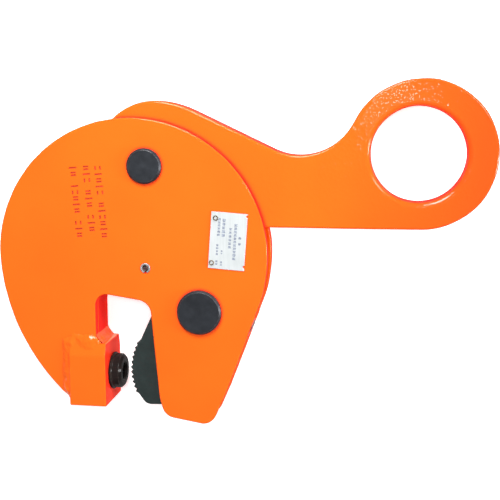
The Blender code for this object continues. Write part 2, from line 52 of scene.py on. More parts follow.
# Side plates: a disc whose two flanks straighten towards the jaw.
DISC_CENTRE = (-69.4, -1.7)
DISC_R = 87.8
FLANK_LEFT_R = 133.0
FLANK_LEFT_FROM = 5.5
FLANK_LEFT_TO = 44.6
FLANK_RIGHT_R = 6000.0
FLANK_RIGHT_FROM = 20.0
FLANK_RIGHT_TO = 20.6
THROAT_WALL = -93.7
THROAT_CORNERS = [(THROAT_WALL, -25.8, 7.5), (-57.7, -31.2, 9.5), (-52.0, -95.0, 20),
                  (-48.6, -106.8, 9), (-17.9, -111.8, 9)]
PLATE_EDGE = 1.1
TIP_CUT = (1.2, -1.4)
SEAT_FOOT_Y = -97.5
SPACER_SETBACK = 3.0
SPACER_FOOT_Y = -95.5
SPACER_CROWN_X = -72.0
SPACER_TOP = [(-70.0, -16.0, 4), (-82.0, -2.0, 12), (-128.0, 6.0, 20)]

# Pivots.
ARM_PIVOT = (-59.5, 56.0)
CAM_PIVOT = (-25.0, -36.5)
CRANK = (25.0, -12.0)
ARM_LINK = (ARM_PIVOT[0] + CRANK[0], ARM_PIVOT[1] + CRANK[1])
CAM_LINK = (CAM_PIVOT[0] + CRANK[0], CAM_PIVOT[1] + CRANK[1])
LINK_ANGLE = degrees(atan2(ARM_LINK[1] - CAM_LINK[1], ARM_LINK[0] - CAM_LINK[0]))
CLOSING_TRAVEL = 5.0
OPENING_TRAVEL = 28.0

# Pins.
ARM_PIN_R = 6.5
ARM_PIN_HEAD_R = 11.2
ARM_PIN_HEAD = 3.0
ARM_BUSH_R = 8.5
CAM_PIN_R = 8.0
CAM_PIN_HEAD_R = 14.25
CAM_PIN_HEAD = 3.4
CAM_BUSH_R = 9.4
LINK_PIN_R = 4.0
LINK_HALF = 6.0
SLOT_HALF = 6.6
GROOVE_Z = (1.2, 2.4)
GROOVE_DEPTH = 0.9
RUNNING = 0.06
PIN_CHAMFER = 0.8
HEAD_DOME = 1.1
WASHER_Z = (2.5, 3.4)
WASHER_BORE = 0.2
WASHER_REACH = 4.2
RING_REACH = 1.9
RING_MOUTH_HALF = 30.0
EYE_R = 0.65
EYE_SETBACK = 9

# Lifting arm.
RING_CENTRE = (112.1, 63.9)
RING_R = 46.1
RING_HOLE_CENTRE = (110.1, 64.1)
RING_HOLE_R = 29.1
CROWN_CENTRE = (-59.6, 25.1)
CROWN_R = 72.0
SLOPE = 25.3
VALLEY_R = 37.5
ARM_BOTTOM = RING_CENTRE[1] - RING_R - 0.2
HEEL_R = 40.0
HEEL_FROM = 80.0
HEEL_TO = 196.0
ARM_EDGE = 1.7
HOLE_EDGE = 3.6
ARM_TOE = (-80.6, 20)
ARM_SLOT_REACH = 50
HOOK_SLOT = [(-77.0, 5.0, 0), (-77.0, 21.0, 2), (-58.0, 31.5, 5), (-45.5, 30.5, 5), (-45.5, 5.0, 0)]

# Cam.
TOOTH_CENTRE = (-34.0, -77.85)
TOOTH_R = 38.6
TOOTH_FROM = 150.0
TOOTH_TO = 205.6
TOOTH_COUNT = 11
TOOTH_DEPTH = 1.3
CAM_CORNERS = [(-62.3, -101.2, 6), (-44.5, -100.6, 12), (2.5, -58.0, 8), (8.6, -46.0, 8),
               (-2.0, -14.0, 16), (-40.0, -10.0, 18), (-51.6, -27.0, 6)]
CAM_EDGE = 0.25
CAM_SLOT_REACH = 55

# Jaw block, pad and screw.
BLOCK_X = (-111.5, -86.8)
BLOCK_Y = (-101.1, -59.5)
BLOCK_SLOPE = (7.8, 2.3)
PAD_Y = -81.0
PAD_X = (-86.5, -78.7)
PAD_BASE_R = 12.2
PAD_END_R = 11.3
PAD_SOCKET_R = 5.4
PAD_FLOOR_X = -83.8
SCREW_R = 3.0
SCREW_HEAD_R = 5.1
SCREW_TIP_X = -103.0
SCREW_END_X = -80.2
HEX_R = 2.9
HEX_DEPTH = 2.4

# Spring and nameplate.
SPRING_PIN = (-60.0, -9.0)
SPRING_PIN_R = 3.25
SPRING_PIN_BORE = 2.1
SPRING_PIN_SEAM_HALF = 16.0
SPRING_POST = (-52.0, 24.0)
SPRING_POST_R = 2.0
SPRING_R = 2.9
SPRING_WIRE_R = 0.6
NAME_CENTRE = (-6.5, 9.5)
NAME_SIZE = (23.0, 36.0)
NAME_TURN = -4.0
NAME_Z = (31.6, 32.2)
NAME_RIVETS = ((-8.6, 14.0), (-9.4, -14.4))
NAME_HOLE_R = 0.9
RIVET_R = 1.6
RIVET_BORE_R = 0.75
RIVET_LIP_R = 0.95
RIVET_LIP = 0.9
RIVET_DIP = 0.35
RIVET_FOOT_Z = 28.0

ROUND_STEPS = 5
SMOOTH_LIMIT = 32.0


# ---- outlines

def arc(centre, radius, start, end, count):
    """Points along an arc, both ends included, angles in degrees."""
    return [offset(centre, radius, start + (end - start) * i / count) for i in range(count + 1)]


def circle(centre, radius, count=96):
    return arc(centre, radius, 0, 360, count)[:-1]


def offset(centre, distance, angle):
    """The point at a distance and an angle in degrees from a centre."""
    return (centre[0] + distance * cos(radians(angle)), centre[1] + distance * sin(radians(angle)))


def corner_arc(before, corner, after, step):
    """The arc that rounds one (x, y, radius) corner."""
    x, y, radius = corner
    if radius == 0:
        return [(x, y)]
    here = Vector((x, y))
    back = (Vector(before[:2]) - here).normalized()
    ahead = (Vector(after[:2]) - here).normalized()
    half = back.angle(ahead) / 2
    centre = here + (back + ahead).normalized() * (radius / sin(half))
    begin = here + back * (radius / tan(half)) - centre
    start = degrees(atan2(begin.y, begin.x))
    sweep = 180 - 2 * degrees(half)
    if back.cross(ahead) > 0:
        sweep = -sweep
    return arc(centre, radius, start, start + sweep, max(2, round(abs(sweep) / step)))


def rounded(corners, step=6.0):
    """A closed outline from (x, y, radius) corners."""
    outline = []
    for i, corner in enumerate(corners):
        outline += corner_arc(corners[i - 1], corner, corners[(i + 1) % len(corners)], step)
    return outline


def rotated(origin, angle, u, v):
    """The point u across and v up from an origin, along axes turned by an angle in degrees."""
    turn = radians(angle)
    return (origin[0] + u * cos(turn) - v * sin(turn), origin[1] + u * sin(turn) + v * cos(turn))


def box(u, v, width, height):
    """Corners of an upright box round a point, counter-clockwise."""
    return [(u + i * width / 2, v + j * height / 2) for i, j in ((-1, -1), (1, -1), (1, 1), (-1, 1))]


def sides_of(outline):
    """Each point of a loop with the next one."""
    return zip(outline, outline[1:] + outline[:1])


def wound(outline, way):
    """The loop running counter-clockwise (1) or clockwise (-1)."""
    area = sum(a[0] * b[1] - b[0] * a[1] for a, b in sides_of(outline))
    return outline if area * way > 0 else outline[::-1]


def side_normals(outline):
    """Outward direction of each side of a loop that runs with its material on the left."""
    return [Vector((b[1] - a[1], a[0] - b[0])).normalized() for a, b in sides_of(outline)]


def corner_normals(outline):
    """For each point of a loop, the outward normals that its previous and next sides use there."""
    sides = side_normals(outline)
    lengths = [hypot(b[0] - a[0], b[1] - a[1]) for a, b in sides_of(outline)]
    pairs = []
    for i, after in enumerate(sides):
        before = sides[i - 1]
        if degrees(before.angle(after, 0)) > SMOOTH_LIMIT:
            pairs.append((before, after))
            continue
        mean = (before * lengths[i - 1] ** 2 + after * lengths[i] ** 2).normalized()
        pairs.append((mean, mean))
    return pairs


def inset(outline, distance):
    """The loop moved into its material, which lies on its left."""
    sides = side_normals(outline)
    moved = []
    for i, point in enumerate(outline):
        middle = (sides[i - 1] + sides[i]).normalized()
        spread = max(0.4, middle.dot(sides[i]))
        moved.append(tuple(Vector(point) - middle * (distance / spread)))
    return moved


def flame_cut(outline, amount, pitch=9.0):
    """A loop with the slight waviness that hand-guided cutting and grinding leave."""
    sides = side_normals(outline)
    wavy = []
    for i, (x, y) in enumerate(outline):
        normal = (sides[i - 1] + sides[i]).normalized()
        shift = amount * (noise.noise(Vector((x / pitch, y / pitch, 0.3))) - 0.35)
        wavy.append((x + normal.x * shift, y + normal.y * shift))
    return wavy


# ---- mesh building

def as_drawn(x, y, z):
    return Vector((x, y, z))


def along_x(x, y, z):
    """Axis of the swivel pad: the turned piece's height runs along X."""
    return Vector((z, PAD_Y + x, MID_Z + y))


class Shell:
    """Gathers faces with their corner normals, then makes one object of them.

    cut is 1 on a piece's cut sides and 0 on its flat faces, and paint() reddens it as painted shade; rim is 1
    along its rounded edges.
    """

    def __init__(self, place=as_drawn):
        self.place = place
        self.level = place(0, 0, 0)
        self.points, self.faces, self.normals = [], [], []
        self.cut, self.rim, self.slots = [], [], []

    def point(self, x, y, z, cut=0.0, rim=0.0):
        self.points.append(self.place(x, y, z))
        self.cut.append(cut)
        self.rim.append(rim)
        return len(self.points) - 1

    def face(self, corners, normals, slot=0):
        self.faces.append(tuple(corners))
        self.normals += [(self.place(*n) - self.level).normalized() for n in normals]
        self.slots.append(slot)

    def flat(self, corners, normal, slot=0):
        self.face(corners, [normal] * len(corners), slot)

    def build(self, name, materials, body, replaced=()):
        mesh = bpy.data.meshes.new(name)
        mesh.from_pydata([(p + SHIFT) * MM for p in self.points], [], self.faces)
        mesh.polygons.foreach_set("material_index", self.slots)
        mesh.polygons.foreach_set("use_smooth", [True] * len(self.faces))
        for label, values in (("cut", self.cut), ("rim", self.rim)):
            mesh.attributes.new(label, "FLOAT", "POINT").data.foreach_set("value", values)
        mesh.normals_split_custom_set(self.normals)
        return publish(name, mesh, materials, body, replaced)


def publish(name, mesh, materials, body, replaced=()):
    """Puts a mesh in the scene, riding on its body if it has just one, in place of some CAD nodes."""
    for made in materials:
        mesh.materials.append(made)
    piece = put(name, mesh)
    if body:
        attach(piece, body)
    if replaced:
        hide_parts(*replaced)
    return piece


def edge_levels(low, high, low_r, high_r):
    """(inset, height, tilt of the normal in degrees) up a side with rounded edges."""
    levels = []
    for radius, end, way in ((low_r, low, -1), (high_r, high, 1)):
        tilts = [90 * i / ROUND_STEPS for i in range(ROUND_STEPS + 1)] if radius else [0]
        for tilt in tilts[::way]:
            inward, back = radius * (1 - cos(radians(tilt))), radius * (1 - sin(radians(tilt)))
            levels.append((inward, end - way * back, way * tilt))
    return levels


def add_wall(shell, loop, levels, slot=0):
    """The side of a loop; returns its lowest and highest rings."""
    pairs = corner_normals(loop)
    count = len(loop)
    starts, rings = [], []
    for inward, height, tilt in levels:
        rings.append(inset(loop, inward) if inward else loop)
        starts.append(len(shell.points))
        side, bend = cos(radians(tilt)), abs(sin(radians(2 * tilt)))
        for x, y in rings[-1]:
            shell.point(x, y, height, cut=side, rim=bend)
    for low, high, (_, _, low_tilt), (_, _, high_tilt) in zip(starts, starts[1:], levels, levels[1:]):
        for i in range(count):
            j = (i + 1) % count
            here, there = pairs[i][1], pairs[j][0]
            normals = [tilted(here, low_tilt), tilted(there, low_tilt),
                       tilted(there, high_tilt), tilted(here, high_tilt)]
            shell.face((low + i, low + j, high + j, high + i), normals, slot)
    return rings[0], rings[-1]


def tilted(flat, tilt):
    return (flat.x * cos(radians(tilt)), flat.y * cos(radians(tilt)), sin(radians(tilt)))


def add_cap(shell, loops, height, way, slot=0):
    """A flat face between loops, facing up (1) or down (-1), on points that are neither cut nor rim."""
    first = len(shell.points)
    spots = [Vector(point) for ring in loops for point in ring]
    for spot in spots:
        shell.point(spot.x, spot.y, height)
    for triangle in tessellate_polygon([[Vector((x, y, 0)) for x, y in ring] for ring in loops]):
        corners = [first + k for k in triangle]
        a, b, c = [spots[k] for k in triangle]
        if (b - a).cross(c - a) * way < 0:
            corners.reverse()
        shell.flat(corners, (0, 0, way), slot)


def add_slab(shell, outline, low, high, edges=(0, 0), holes=(), pits=(), caps=(True, True), pit_slot=0):
    """A plate with rounded edges, through holes as (loop, low edge, high edge) and pits as (loop, depth)."""
    holes = [(wound(loop, -1), low_r, high_r) for loop, low_r, high_r in holes]
    bottoms, tops = [], []
    for loop, low_r, high_r in [(wound(outline, 1), *edges), *holes]:
        bottom, top = add_wall(shell, loop, edge_levels(low, high, low_r, high_r))
        bottoms.append(bottom)
        tops.append(top)
    for loop, depth in pits:
        levels = [(0, high - depth, 0), (0, high, 0)]
        floor, mouth = add_wall(shell, wound(loop, -1), levels, pit_slot)
        add_cap(shell, [floor], high - depth, 1, pit_slot)
        tops.append(mouth)
    if caps[0]:
        add_cap(shell, bottoms, low, -1)
    if caps[1]:
        add_cap(shell, tops, high, 1)


def turned_profile(corners, step=22.5):
    """An open profile of (radius, height, rim) from (radius, height, rounding) corners."""
    profile = []
    for i, corner in enumerate(corners):
        if corner[2] == 0 or i in (0, len(corners) - 1):
            profile.append((corner[0], corner[1], 0.0))
            continue
        points = corner_arc(corners[i - 1], corner, corners[i + 1], step)
        last = len(points) - 1
        profile += [(r, h, sin(pi * k / last)) for k, (r, h) in enumerate(points)]
    return profile


def add_turned(shell, corners, centre=(0.0, 0.0), count=96, slot=0):
    """A solid of revolution about the local Z axis; the profile runs with the material on its left."""
    profile = turned_profile(corners)
    outline = [point[:2] for point in profile]
    normals, sides = corner_normals(outline), side_normals(outline)
    normals[0], normals[-1] = (sides[0], sides[0]), (sides[-2], sides[-2])
    spokes = circle((0, 0), 1, count)
    rings = []
    for radius, height, rim in profile:
        rings.append(len(shell.points))
        for x, y in spokes:
            shell.point(centre[0] + radius * x, centre[1] + radius * y, height, rim=rim)
    for k in range(len(profile) - 1):
        low = (rings[k], profile[k][0], normals[k][1])
        high = (rings[k + 1], profile[k + 1][0], normals[k + 1][0])
        for i in range(count):
            j = (i + 1) % count
            face = [(*low, i), (*low, j), (*high, j), (*high, i)]
            if low[1] == 0:
                face.pop(1)
            elif high[1] == 0:
                face.pop(2)
            # Faces that meet on the axis share their ring's first point.
            points = [ring + (m if radius else 0) for ring, radius, _, m in face]
            outward = [(n.x * spokes[m][0], n.x * spokes[m][1], n.y) for _, _, n, m in face]
            shell.face(points, outward, slot)


def turned(name, corners, centre, material, body, replaced=(), place=as_drawn):
    shell = Shell(place)
    add_turned(shell, corners, centre)
    return shell.build(name, [material], body, replaced)


# ---- node materials

class Nodes:
    """A material's node tree with short ways to add and link nodes."""

    def __init__(self, name):
        self.material = bpy.data.materials.new(name)
        self.material.use_nodes = True
        self.tree = self.material.node_tree
        self.shader = self.tree.nodes["Principled BSDF"]
        self.place = self.add("TexCoord", "Object", {})

    def add(self, kind, output, sockets, **settings):
        """An output of a new node; sockets maps input names or places to values, colours or outputs."""
        node = self.tree.nodes.new("ShaderNode" + kind)
        for label, value in settings.items():
            setattr(node, label, value)
        for key, value in sockets.items():
            self.fill(node.inputs[key], value)
        return node.outputs[output]

    def fill(self, socket, value):
        if isinstance(value, bpy.types.NodeSocket):
            self.tree.links.new(value, socket)
        elif socket.type == "RGBA":
            socket.default_value = (*value, 1.0)
        else:
            socket.default_value = value

    def noise(self, scale, detail=2.0, rough=0.5, stretch=None):
        place = self.place
        if stretch:
            place = self.add("Mapping", "Vector", {"Vector": place, "Scale": stretch})
        return self.add("TexNoise", "Fac", {"Vector": place, "Scale": scale, "Detail": detail,
                                            "Roughness": rough})

    def cells(self, scale):
        return self.add("TexVoronoi", "Distance", {"Vector": self.place, "Scale": scale})

    def attribute(self, label):
        return self.add("Attribute", "Fac", {}, attribute_name=label)

    def ramp(self, source, low=0.3, high=0.7, out=(0.0, 1.0)):
        return self.add("MapRange", "Result", {"Value": source, "From Min": low, "From Max": high,
                                               "To Min": out[0], "To Max": out[1]})

    def math(self, operation, a, b):
        return self.add("Math", "Value", {0: a, 1: b}, operation=operation)

    def mix(self, factor, a, b):
        """Colour a where factor is 0, colour b where it is 1."""
        return self.add("Mix", 2, {0: factor, 6: a, 7: b}, data_type="RGBA")

    def bump(self, height, distance, normal=None):
        under = {"Normal": normal} if normal else {}
        return self.add("Bump", "Normal", {"Strength": 1.0, "Distance": distance, "Height": height, **under})

    def finish(self, color, roughness, **settings):
        """The material; settings are the shader's inputs, with _ for a space."""
        settings.update(Base_Color=color, Roughness=roughness)
        for label, value in settings.items():
            self.fill(self.shader.inputs[label.replace("_", " ")], value)
        return self.material


# The enamel's linear colours. The three shaded ones are painted shade: redder on cut sides and in corners,
# and darker and redder towards the ring.
ENAMEL = (0.92, 0.122, 0.0066)
ENAMEL_MOTTLED = (0.90, 0.112, 0.0060)
ENAMEL_GRAIN = (0.95, 0.17, 0.014)
ENAMEL_SHADED_AT_RING = (0.90, 0.064, 0.0060)
ENAMEL_SHADED_ON_CUT_SIDES = (0.93, 0.022, 0.018)
ENAMEL_SHADED_IN_CORNERS = (0.92, 0.028, 0.014)
PRIMER = (0.10, 0.035, 0.02)
RING_SHADE_X = (0.045, 0.15)
CORNER_SHADE_REACH = 0.0030
PEEL_SCALE = 480
PEEL_DEPTH = 0.000080


def paint(name, peel=1.0, chips=1.0):
    """Glossy orange enamel: orange peel and chips along edges, with painted shade: redder in corners and on
    cut sides, and darker towards the ring.
    """
    n = Nodes(name)
    along = n.add("SeparateXYZ", "X", {"Vector": n.place})
    openness = n.add("AmbientOcclusion", "AO", {"Distance": CORNER_SHADE_REACH}, samples=8)
    body = n.mix(n.ramp(n.noise(22, 2), 0.35, 0.65), ENAMEL, ENAMEL_MOTTLED)
    body = n.mix(n.ramp(n.noise(1400, 1), out=(0.0, 0.12)), body, ENAMEL_GRAIN)
    # Painted shade: the enamel darkens and reddens towards the ring, as if less light reached it.
    body = n.mix(n.ramp(along, *RING_SHADE_X, (0.0, 0.9)), body, ENAMEL_SHADED_AT_RING)
    side = n.attribute("cut")
    rim = n.attribute("rim")
    # Painted shade: the cut sides turn red, as if lying in shade.
    body = n.mix(n.ramp(side, 0.7, 1.0, (0.0, 0.95)), body, ENAMEL_SHADED_ON_CUT_SIDES)
    # Painted shade: the enamel turns deep red in corners and tight gaps, where the occlusion is high.
    body = n.mix(n.ramp(openness, 0.5, 0.9, (0.9, 0.0)), body, ENAMEL_SHADED_IN_CORNERS)
    flakes = n.math("MULTIPLY", n.ramp(n.noise(420, 4, 0.62), 0.64, 0.66), n.ramp(rim, 0.55, 0.95))
    patches = n.math("MULTIPLY", flakes, n.ramp(n.noise(38, 2), 0.55, 0.62, (0.0, chips)))
    color = n.mix(patches, body, PRIMER)
    bare = n.math("MULTIPLY", patches, 0.3)
    roughness = n.math("ADD", n.ramp(n.noise(160, 3), out=(0.36, 0.48)), bare)
    drag = n.math("MULTIPLY", n.noise(1.0, 3, 0.6, stretch=(700, 700, 45)), side)
    domes = n.cells(PEEL_SCALE)
    normal = n.bump(n.math("MULTIPLY", domes, domes), PEEL_DEPTH * peel)
    normal = n.bump(drag, 0.00012, normal)
    return n.finish(color, roughness, Normal=normal, Coat_Normal=normal, Specular_IOR_Level=0.0,
                    Coat_Weight=n.ramp(side, 0.5, 1.0, (0.8, 0.03)), Coat_Roughness=0.03, Coat_IOR=1.5)


def pit_shade_paint(name):
    """Enamel in the punched pits, darkened to a mottled red-brown as painted shade."""
    n = Nodes(name)
    # Painted shade: the pits get a darker red than the enamel around them.
    shaded_pits = n.mix(n.ramp(n.noise(500, 3), 0.35, 0.65), (0.60, 0.045, 0.010), (0.42, 0.028, 0.008))
    return n.finish(shaded_pits, n.ramp(n.noise(300), out=(0.4, 0.6)), Coat_Weight=0.3, Coat_Roughness=0.1,
                    Normal=n.bump(n.noise(900, 1), 0.00004))


def blackened(name, color, worn, grain=900, gloss=(0.32, 0.48), metallic=0.55, relief=0.00002, coat=0.0,
              specular=0.5):
    """Dark oxide on steel: fine grain, mottling, and steel showing through along the edges."""
    n = Nodes(name)
    mottled = n.mix(n.ramp(n.noise(130, 4, 0.6), 0.35, 0.7), color, tuple(1.45 * c for c in color))
    speck = n.ramp(n.noise(2600, 2), 0.62, 0.70, (0.0, 0.35))
    mottled = n.mix(speck, mottled, tuple(2.6 * c for c in color))
    rubbed = n.math("MULTIPLY", n.attribute("rim"), n.ramp(n.noise(240, 4, 0.6), 0.42, 0.62, (0.0, 0.7)))
    roughness = n.ramp(n.noise(210, 3), out=gloss)
    return n.finish(n.mix(rubbed, mottled, worn), roughness, Normal=n.bump(n.noise(grain, 3, 0.6), relief),
                    Metallic=metallic, Coat_Weight=coat, Coat_Roughness=0.08, Specular_IOR_Level=specular)


def bright_steel(name, color, gloss):
    """Plated steel with faint stains and hairline scratches."""
    n = Nodes(name)
    stained = n.mix(n.ramp(n.noise(260, 4, 0.6), 0.4, 0.75), color, tuple(0.55 * c for c in color))
    scratches = n.noise(1.0, 2, 0.5, stretch=(2600, 260, 2600))
    return n.finish(stained, n.ramp(scratches, out=gloss), Normal=n.bump(scratches, 0.00001),
                    Metallic=0.75)


def bronze(name):
    """Sintered bush metal, oily and porous."""
    n = Nodes(name)
    oily = n.mix(n.ramp(n.noise(180, 3), 0.35, 0.7), (0.50, 0.31, 0.12), (0.24, 0.14, 0.06))
    pores = n.ramp(n.cells(2400), 0.0, 0.35)
    return n.finish(oily, n.ramp(n.noise(300), out=(0.3, 0.5)), Normal=n.bump(pores, 0.00002),
                    Metallic=0.9)


def nameplate_alloy(name):
    """Lacquered aluminium with a fine lengthwise brushing and cloudy stains."""
    n = Nodes(name)
    brushed = n.noise(1.0, 3, 0.6, stretch=(1500, 60, 1500))
    cloudy = n.mix(n.ramp(n.noise(75, 3), 0.35, 0.7), (0.58, 0.61, 0.615), (0.50, 0.535, 0.54))
    color = n.mix(n.ramp(brushed, 0.35, 0.7, (0.0, 0.5)), cloudy, (0.65, 0.68, 0.69))
    return n.finish(color, n.ramp(brushed, out=(0.32, 0.5)), Normal=n.bump(brushed, 0.000006),
                    Metallic=0.25)


def ink(name):
    """Screen-printed grey-blue ink, thin in places."""
    n = Nodes(name)
    thin = n.ramp(n.noise(650, 3, 0.6), 0.42, 0.6)
    color = n.mix(thin, (0.10, 0.12, 0.19), (0.30, 0.34, 0.41))
    return n.finish(color, n.ramp(n.noise(400), out=(0.4, 0.6)))


def backdrop(name):
    """Matt white table top that glows a little, as a light table does."""
    n = Nodes(name)
    color = n.mix(n.ramp(n.noise(3)), (0.96, 0.96, 0.96), (0.94, 0.94, 0.945))
    return n.finish(color, 0.85, Specular_IOR_Level=0.1, Emission_Color=(1.0, 1.0, 1.0),
                    Emission_Strength=0.52)


# ---- plates and spacer

def flank_centre(side, start, radius):
    """Centre of a flank arc that leaves the disc tangentially, start degrees below its middle."""
    reach = DISC_R - radius
    return (DISC_CENTRE[0] + side * reach * cos(radians(start)), DISC_CENTRE[1] - reach * sin(radians(start)))


def plate_flanks():
    """The disc and its two flanks, from the right toe over the top to the left tip."""
    right = flank_centre(1, FLANK_RIGHT_FROM, FLANK_RIGHT_R)
    left = flank_centre(-1, FLANK_LEFT_FROM, FLANK_LEFT_R)
    return (arc(right, FLANK_RIGHT_R, -FLANK_RIGHT_TO, -FLANK_RIGHT_FROM, 30)
            + arc(DISC_CENTRE, DISC_R, -FLANK_RIGHT_FROM, 180 + FLANK_LEFT_FROM, 150)[1:-1]
            + arc(left, FLANK_LEFT_R, 180 + FLANK_LEFT_FROM, 180 + FLANK_LEFT_TO, 50))


def throat_outline():
    """Up the throat from the block's top edge, over its crown and down the leg to the toe."""
    foot = (THROAT_WALL, BLOCK_Y[1] + FACE_GAP, 0)
    toe = plate_flanks()[0]
    closing = [(toe[0], toe[1], 0), (toe[0], 0, 0), (THROAT_WALL, 0, 0)]
    return rounded([foot, *THROAT_CORNERS, *closing])[:-3]


def plate_outline():
    """Counter-clockwise, starting at the plate's lower left tip."""
    tip = plate_flanks()[-1]
    left = BLOCK_X[0] - FACE_GAP
    seat = [(tip[0] + TIP_CUT[0], tip[1] + TIP_CUT[1]), (left, SEAT_FOOT_Y), (left, BLOCK_Y[1] + FACE_GAP)]
    return seat + flame_cut(throat_outline(), 0.12) + flame_cut(plate_flanks(), 0.22)


PUNCH_COLUMNS = ((-106.2, "-= -|=-= |-="), (-97.6, "=-| =-= |-="), (-89.8, "|-=-| =-|=-="))
PUNCH_TOP = 54.5
PUNCH_STEP = 3.9
PUNCH_TURN = 4.5
PUNCH_DEPTH = 0.5
PUNCH_BAR = (5.0, 1.05)
PUNCH_CORNER = 0.28


def punch_bars(mark):
    """Centres and sizes of the bars in one tally mark, across and along its column."""
    length, width = PUNCH_BAR
    return {"-": [(0, 0, length, width)],
            "=": [(0, 0.85, 0.7 * length, width), (0, -0.85, 0.7 * length, width)],
            "|": [(-1.6, 0, width, 2.4), (1.6, 0, width, 2.4)],
            " ": []}[mark]


def punch_marks():
    """Pits of a made-up tally pattern: bars in three columns down the plate's left."""
    pits = []
    for left, marks in PUNCH_COLUMNS:
        for row, mark in enumerate(marks):
            for u, v, width, height in punch_bars(mark):
                spots = box(u, v - row * PUNCH_STEP, width, height)
                corners = [(*rotated((left, PUNCH_TOP), PUNCH_TURN, *spot), PUNCH_CORNER) for spot in spots]
                pits.append((rounded(corners, 45), PUNCH_DEPTH))
    return pits


def side_plates(finish, pit_shade_finish):
    """Two plates alike, but for the punched marks on the front one, with painted shade in them."""
    holes = [(circle(ARM_PIVOT, ARM_PIN_R + FACE_GAP), 0, 0), (circle(CAM_PIVOT, CAM_PIN_R + FACE_GAP), 0, 0),
             (circle(SPRING_PIN, SPRING_PIN_R + RUNNING, 48), 0.3, 0.3)]
    plates = (("front_side_plate", FRONT_Z, punch_marks(), [finish, pit_shade_finish]),
              ("rear_side_plate", REAR_Z, [], [finish]))
    for name, heights, pits, finishes in plates:
        shell = Shell()
        add_slab(shell, plate_outline(), *heights, (PLATE_EDGE, PLATE_EDGE), holes, pits, pit_slot=1)
        shell.build("painted_" + name, finishes, "frame", [name])


def throat_spacer(finish):
    """Thick plate between the side plates, flush with the throat and set back from their rim."""
    left = flank_centre(-1, FLANK_LEFT_FROM, FLANK_LEFT_R)
    edge = arc(DISC_CENTRE, DISC_R - SPACER_SETBACK, 176, 180 + FLANK_LEFT_FROM, 12)[:-1]
    edge += arc(left, FLANK_LEFT_R - SPACER_SETBACK, 180 + FLANK_LEFT_FROM, 180 + FLANK_LEFT_TO - 2, 40)
    block_left = BLOCK_X[0] - FACE_GAP
    throat = throat_outline()
    crown = next(i for i, point in enumerate(throat) if point[0] > SPACER_CROWN_X)
    top = rounded([(*throat[crown], 0), *SPACER_TOP, (*edge[0], 0), (-150.0, -60.0, 0)], 8)[:-1]
    foot = [(block_left, SPACER_FOOT_Y), (block_left, BLOCK_Y[1] + FACE_GAP)]
    shell = Shell()
    add_slab(shell, foot + throat[:crown] + top + edge[1:], REAR_Z[1] + FACE_GAP, FRONT_Z[0] - FACE_GAP,
             (0.4, 0.4))
    shell.build("painted_throat_spacer", [finish], "frame", ["throat_spacer"])


# ---- jaw block and welds

BLOCK_EDGE = 0.9
# How much of the cut sides' painted-shade red and thin coat the block's ends take.
BLOCK_END_CUT_SHADE = 0.955


def jaw_block(finish):
    """Block with sloped shoulders and bevelled edges; its rear face and ends take the cut sides'
    painted-shade red.
    """
    run, drop = BLOCK_SLOPE
    (low_y, high_y), (low_z, high_z) = BLOCK_Y, (0.0, 2 * MID_Z)
    section = [(low_y, low_z), (high_y - run, low_z), (high_y, low_z + drop),
               (high_y, high_z - drop), (high_y - run, high_z), (low_y, high_z)]
    points = [(Vector((x, y, z)) + SHIFT) * MM for x in BLOCK_X for y, z in section]
    count = len(section)
    faces = [(i, (i + 1) % count, count + (i + 1) % count, count + i) for i in range(count)]
    faces += [tuple(reversed(range(count))), tuple(range(count, 2 * count))]
    mesh = bpy.data.meshes.new("painted_jaw_block")
    mesh.from_pydata(points, [], faces)
    mesh.shade_smooth()
    # Painted shade: the rear face and the ends are marked as cut sides, so paint() reddens them.
    cut_and_shade = [1.0] + [0.0] * (count - 1) + [BLOCK_END_CUT_SHADE] * 2
    mesh.attributes.new("cut", "FLOAT", "FACE").data.foreach_set("value", cut_and_shade)
    piece = publish("painted_jaw_block", mesh, [finish], "frame", ["jaw_block"])
    bevel = piece.modifiers.new("ground_edges", "BEVEL")
    bevel.width = BLOCK_EDGE * MM
    bevel.segments = 4
    bevel.limit_method = "ANGLE"
    bevel.angle_limit = radians(12)
    piece.modifiers.new("flat_faces", "WEIGHTED_NORMAL").keep_sharp = True


WELD_STATIONS = 150
WELD_ACROSS = 12
WELD_TOP_LEG = 6.0
WELD_SIDE_LEG = 5.8
WELD_TOP_LAP = 4.6
WELD_RIPPLE = 2.3
WELD_RIPPLE_HEIGHT = 0.05
WELD_SWELL = 0.50
WELD_LUMP_HEIGHT = 1.15
WELD_TOE_WANDER = 0.8
WELD_TOE_SINK = 0.12


def weld_route():
    """(inner point, outer point, rise) at the corners of the fillet round the block."""
    left, top = BLOCK_X[0], BLOCK_Y[1]
    outer_x, outer_y, lap_y = left - WELD_SIDE_LEG, top + WELD_TOP_LEG, top - WELD_TOP_LAP
    return [((THROAT_WALL + 4.5, lap_y), (THROAT_WALL + 3.1, top + 0.6), 1.9),
            ((THROAT_WALL + 0.3, lap_y), (THROAT_WALL - 0.9, outer_y - 0.2), 2.3),
            ((left + 3.0, lap_y), (left + 1.5, outer_y), 2.3),
            ((left + 1.2, lap_y - 0.9), (outer_x + 1.2, top + 2.5), 2.4),
            ((left + 1.0, top - 9.0), (outer_x, top - 6.0), 2.6),
            ((left + 1.0, -91.0), (outer_x + 0.3, -90.5), 3.0),
            ((left + 1.0, -96.8), (left - 1.4, -97.0), 3.1)]


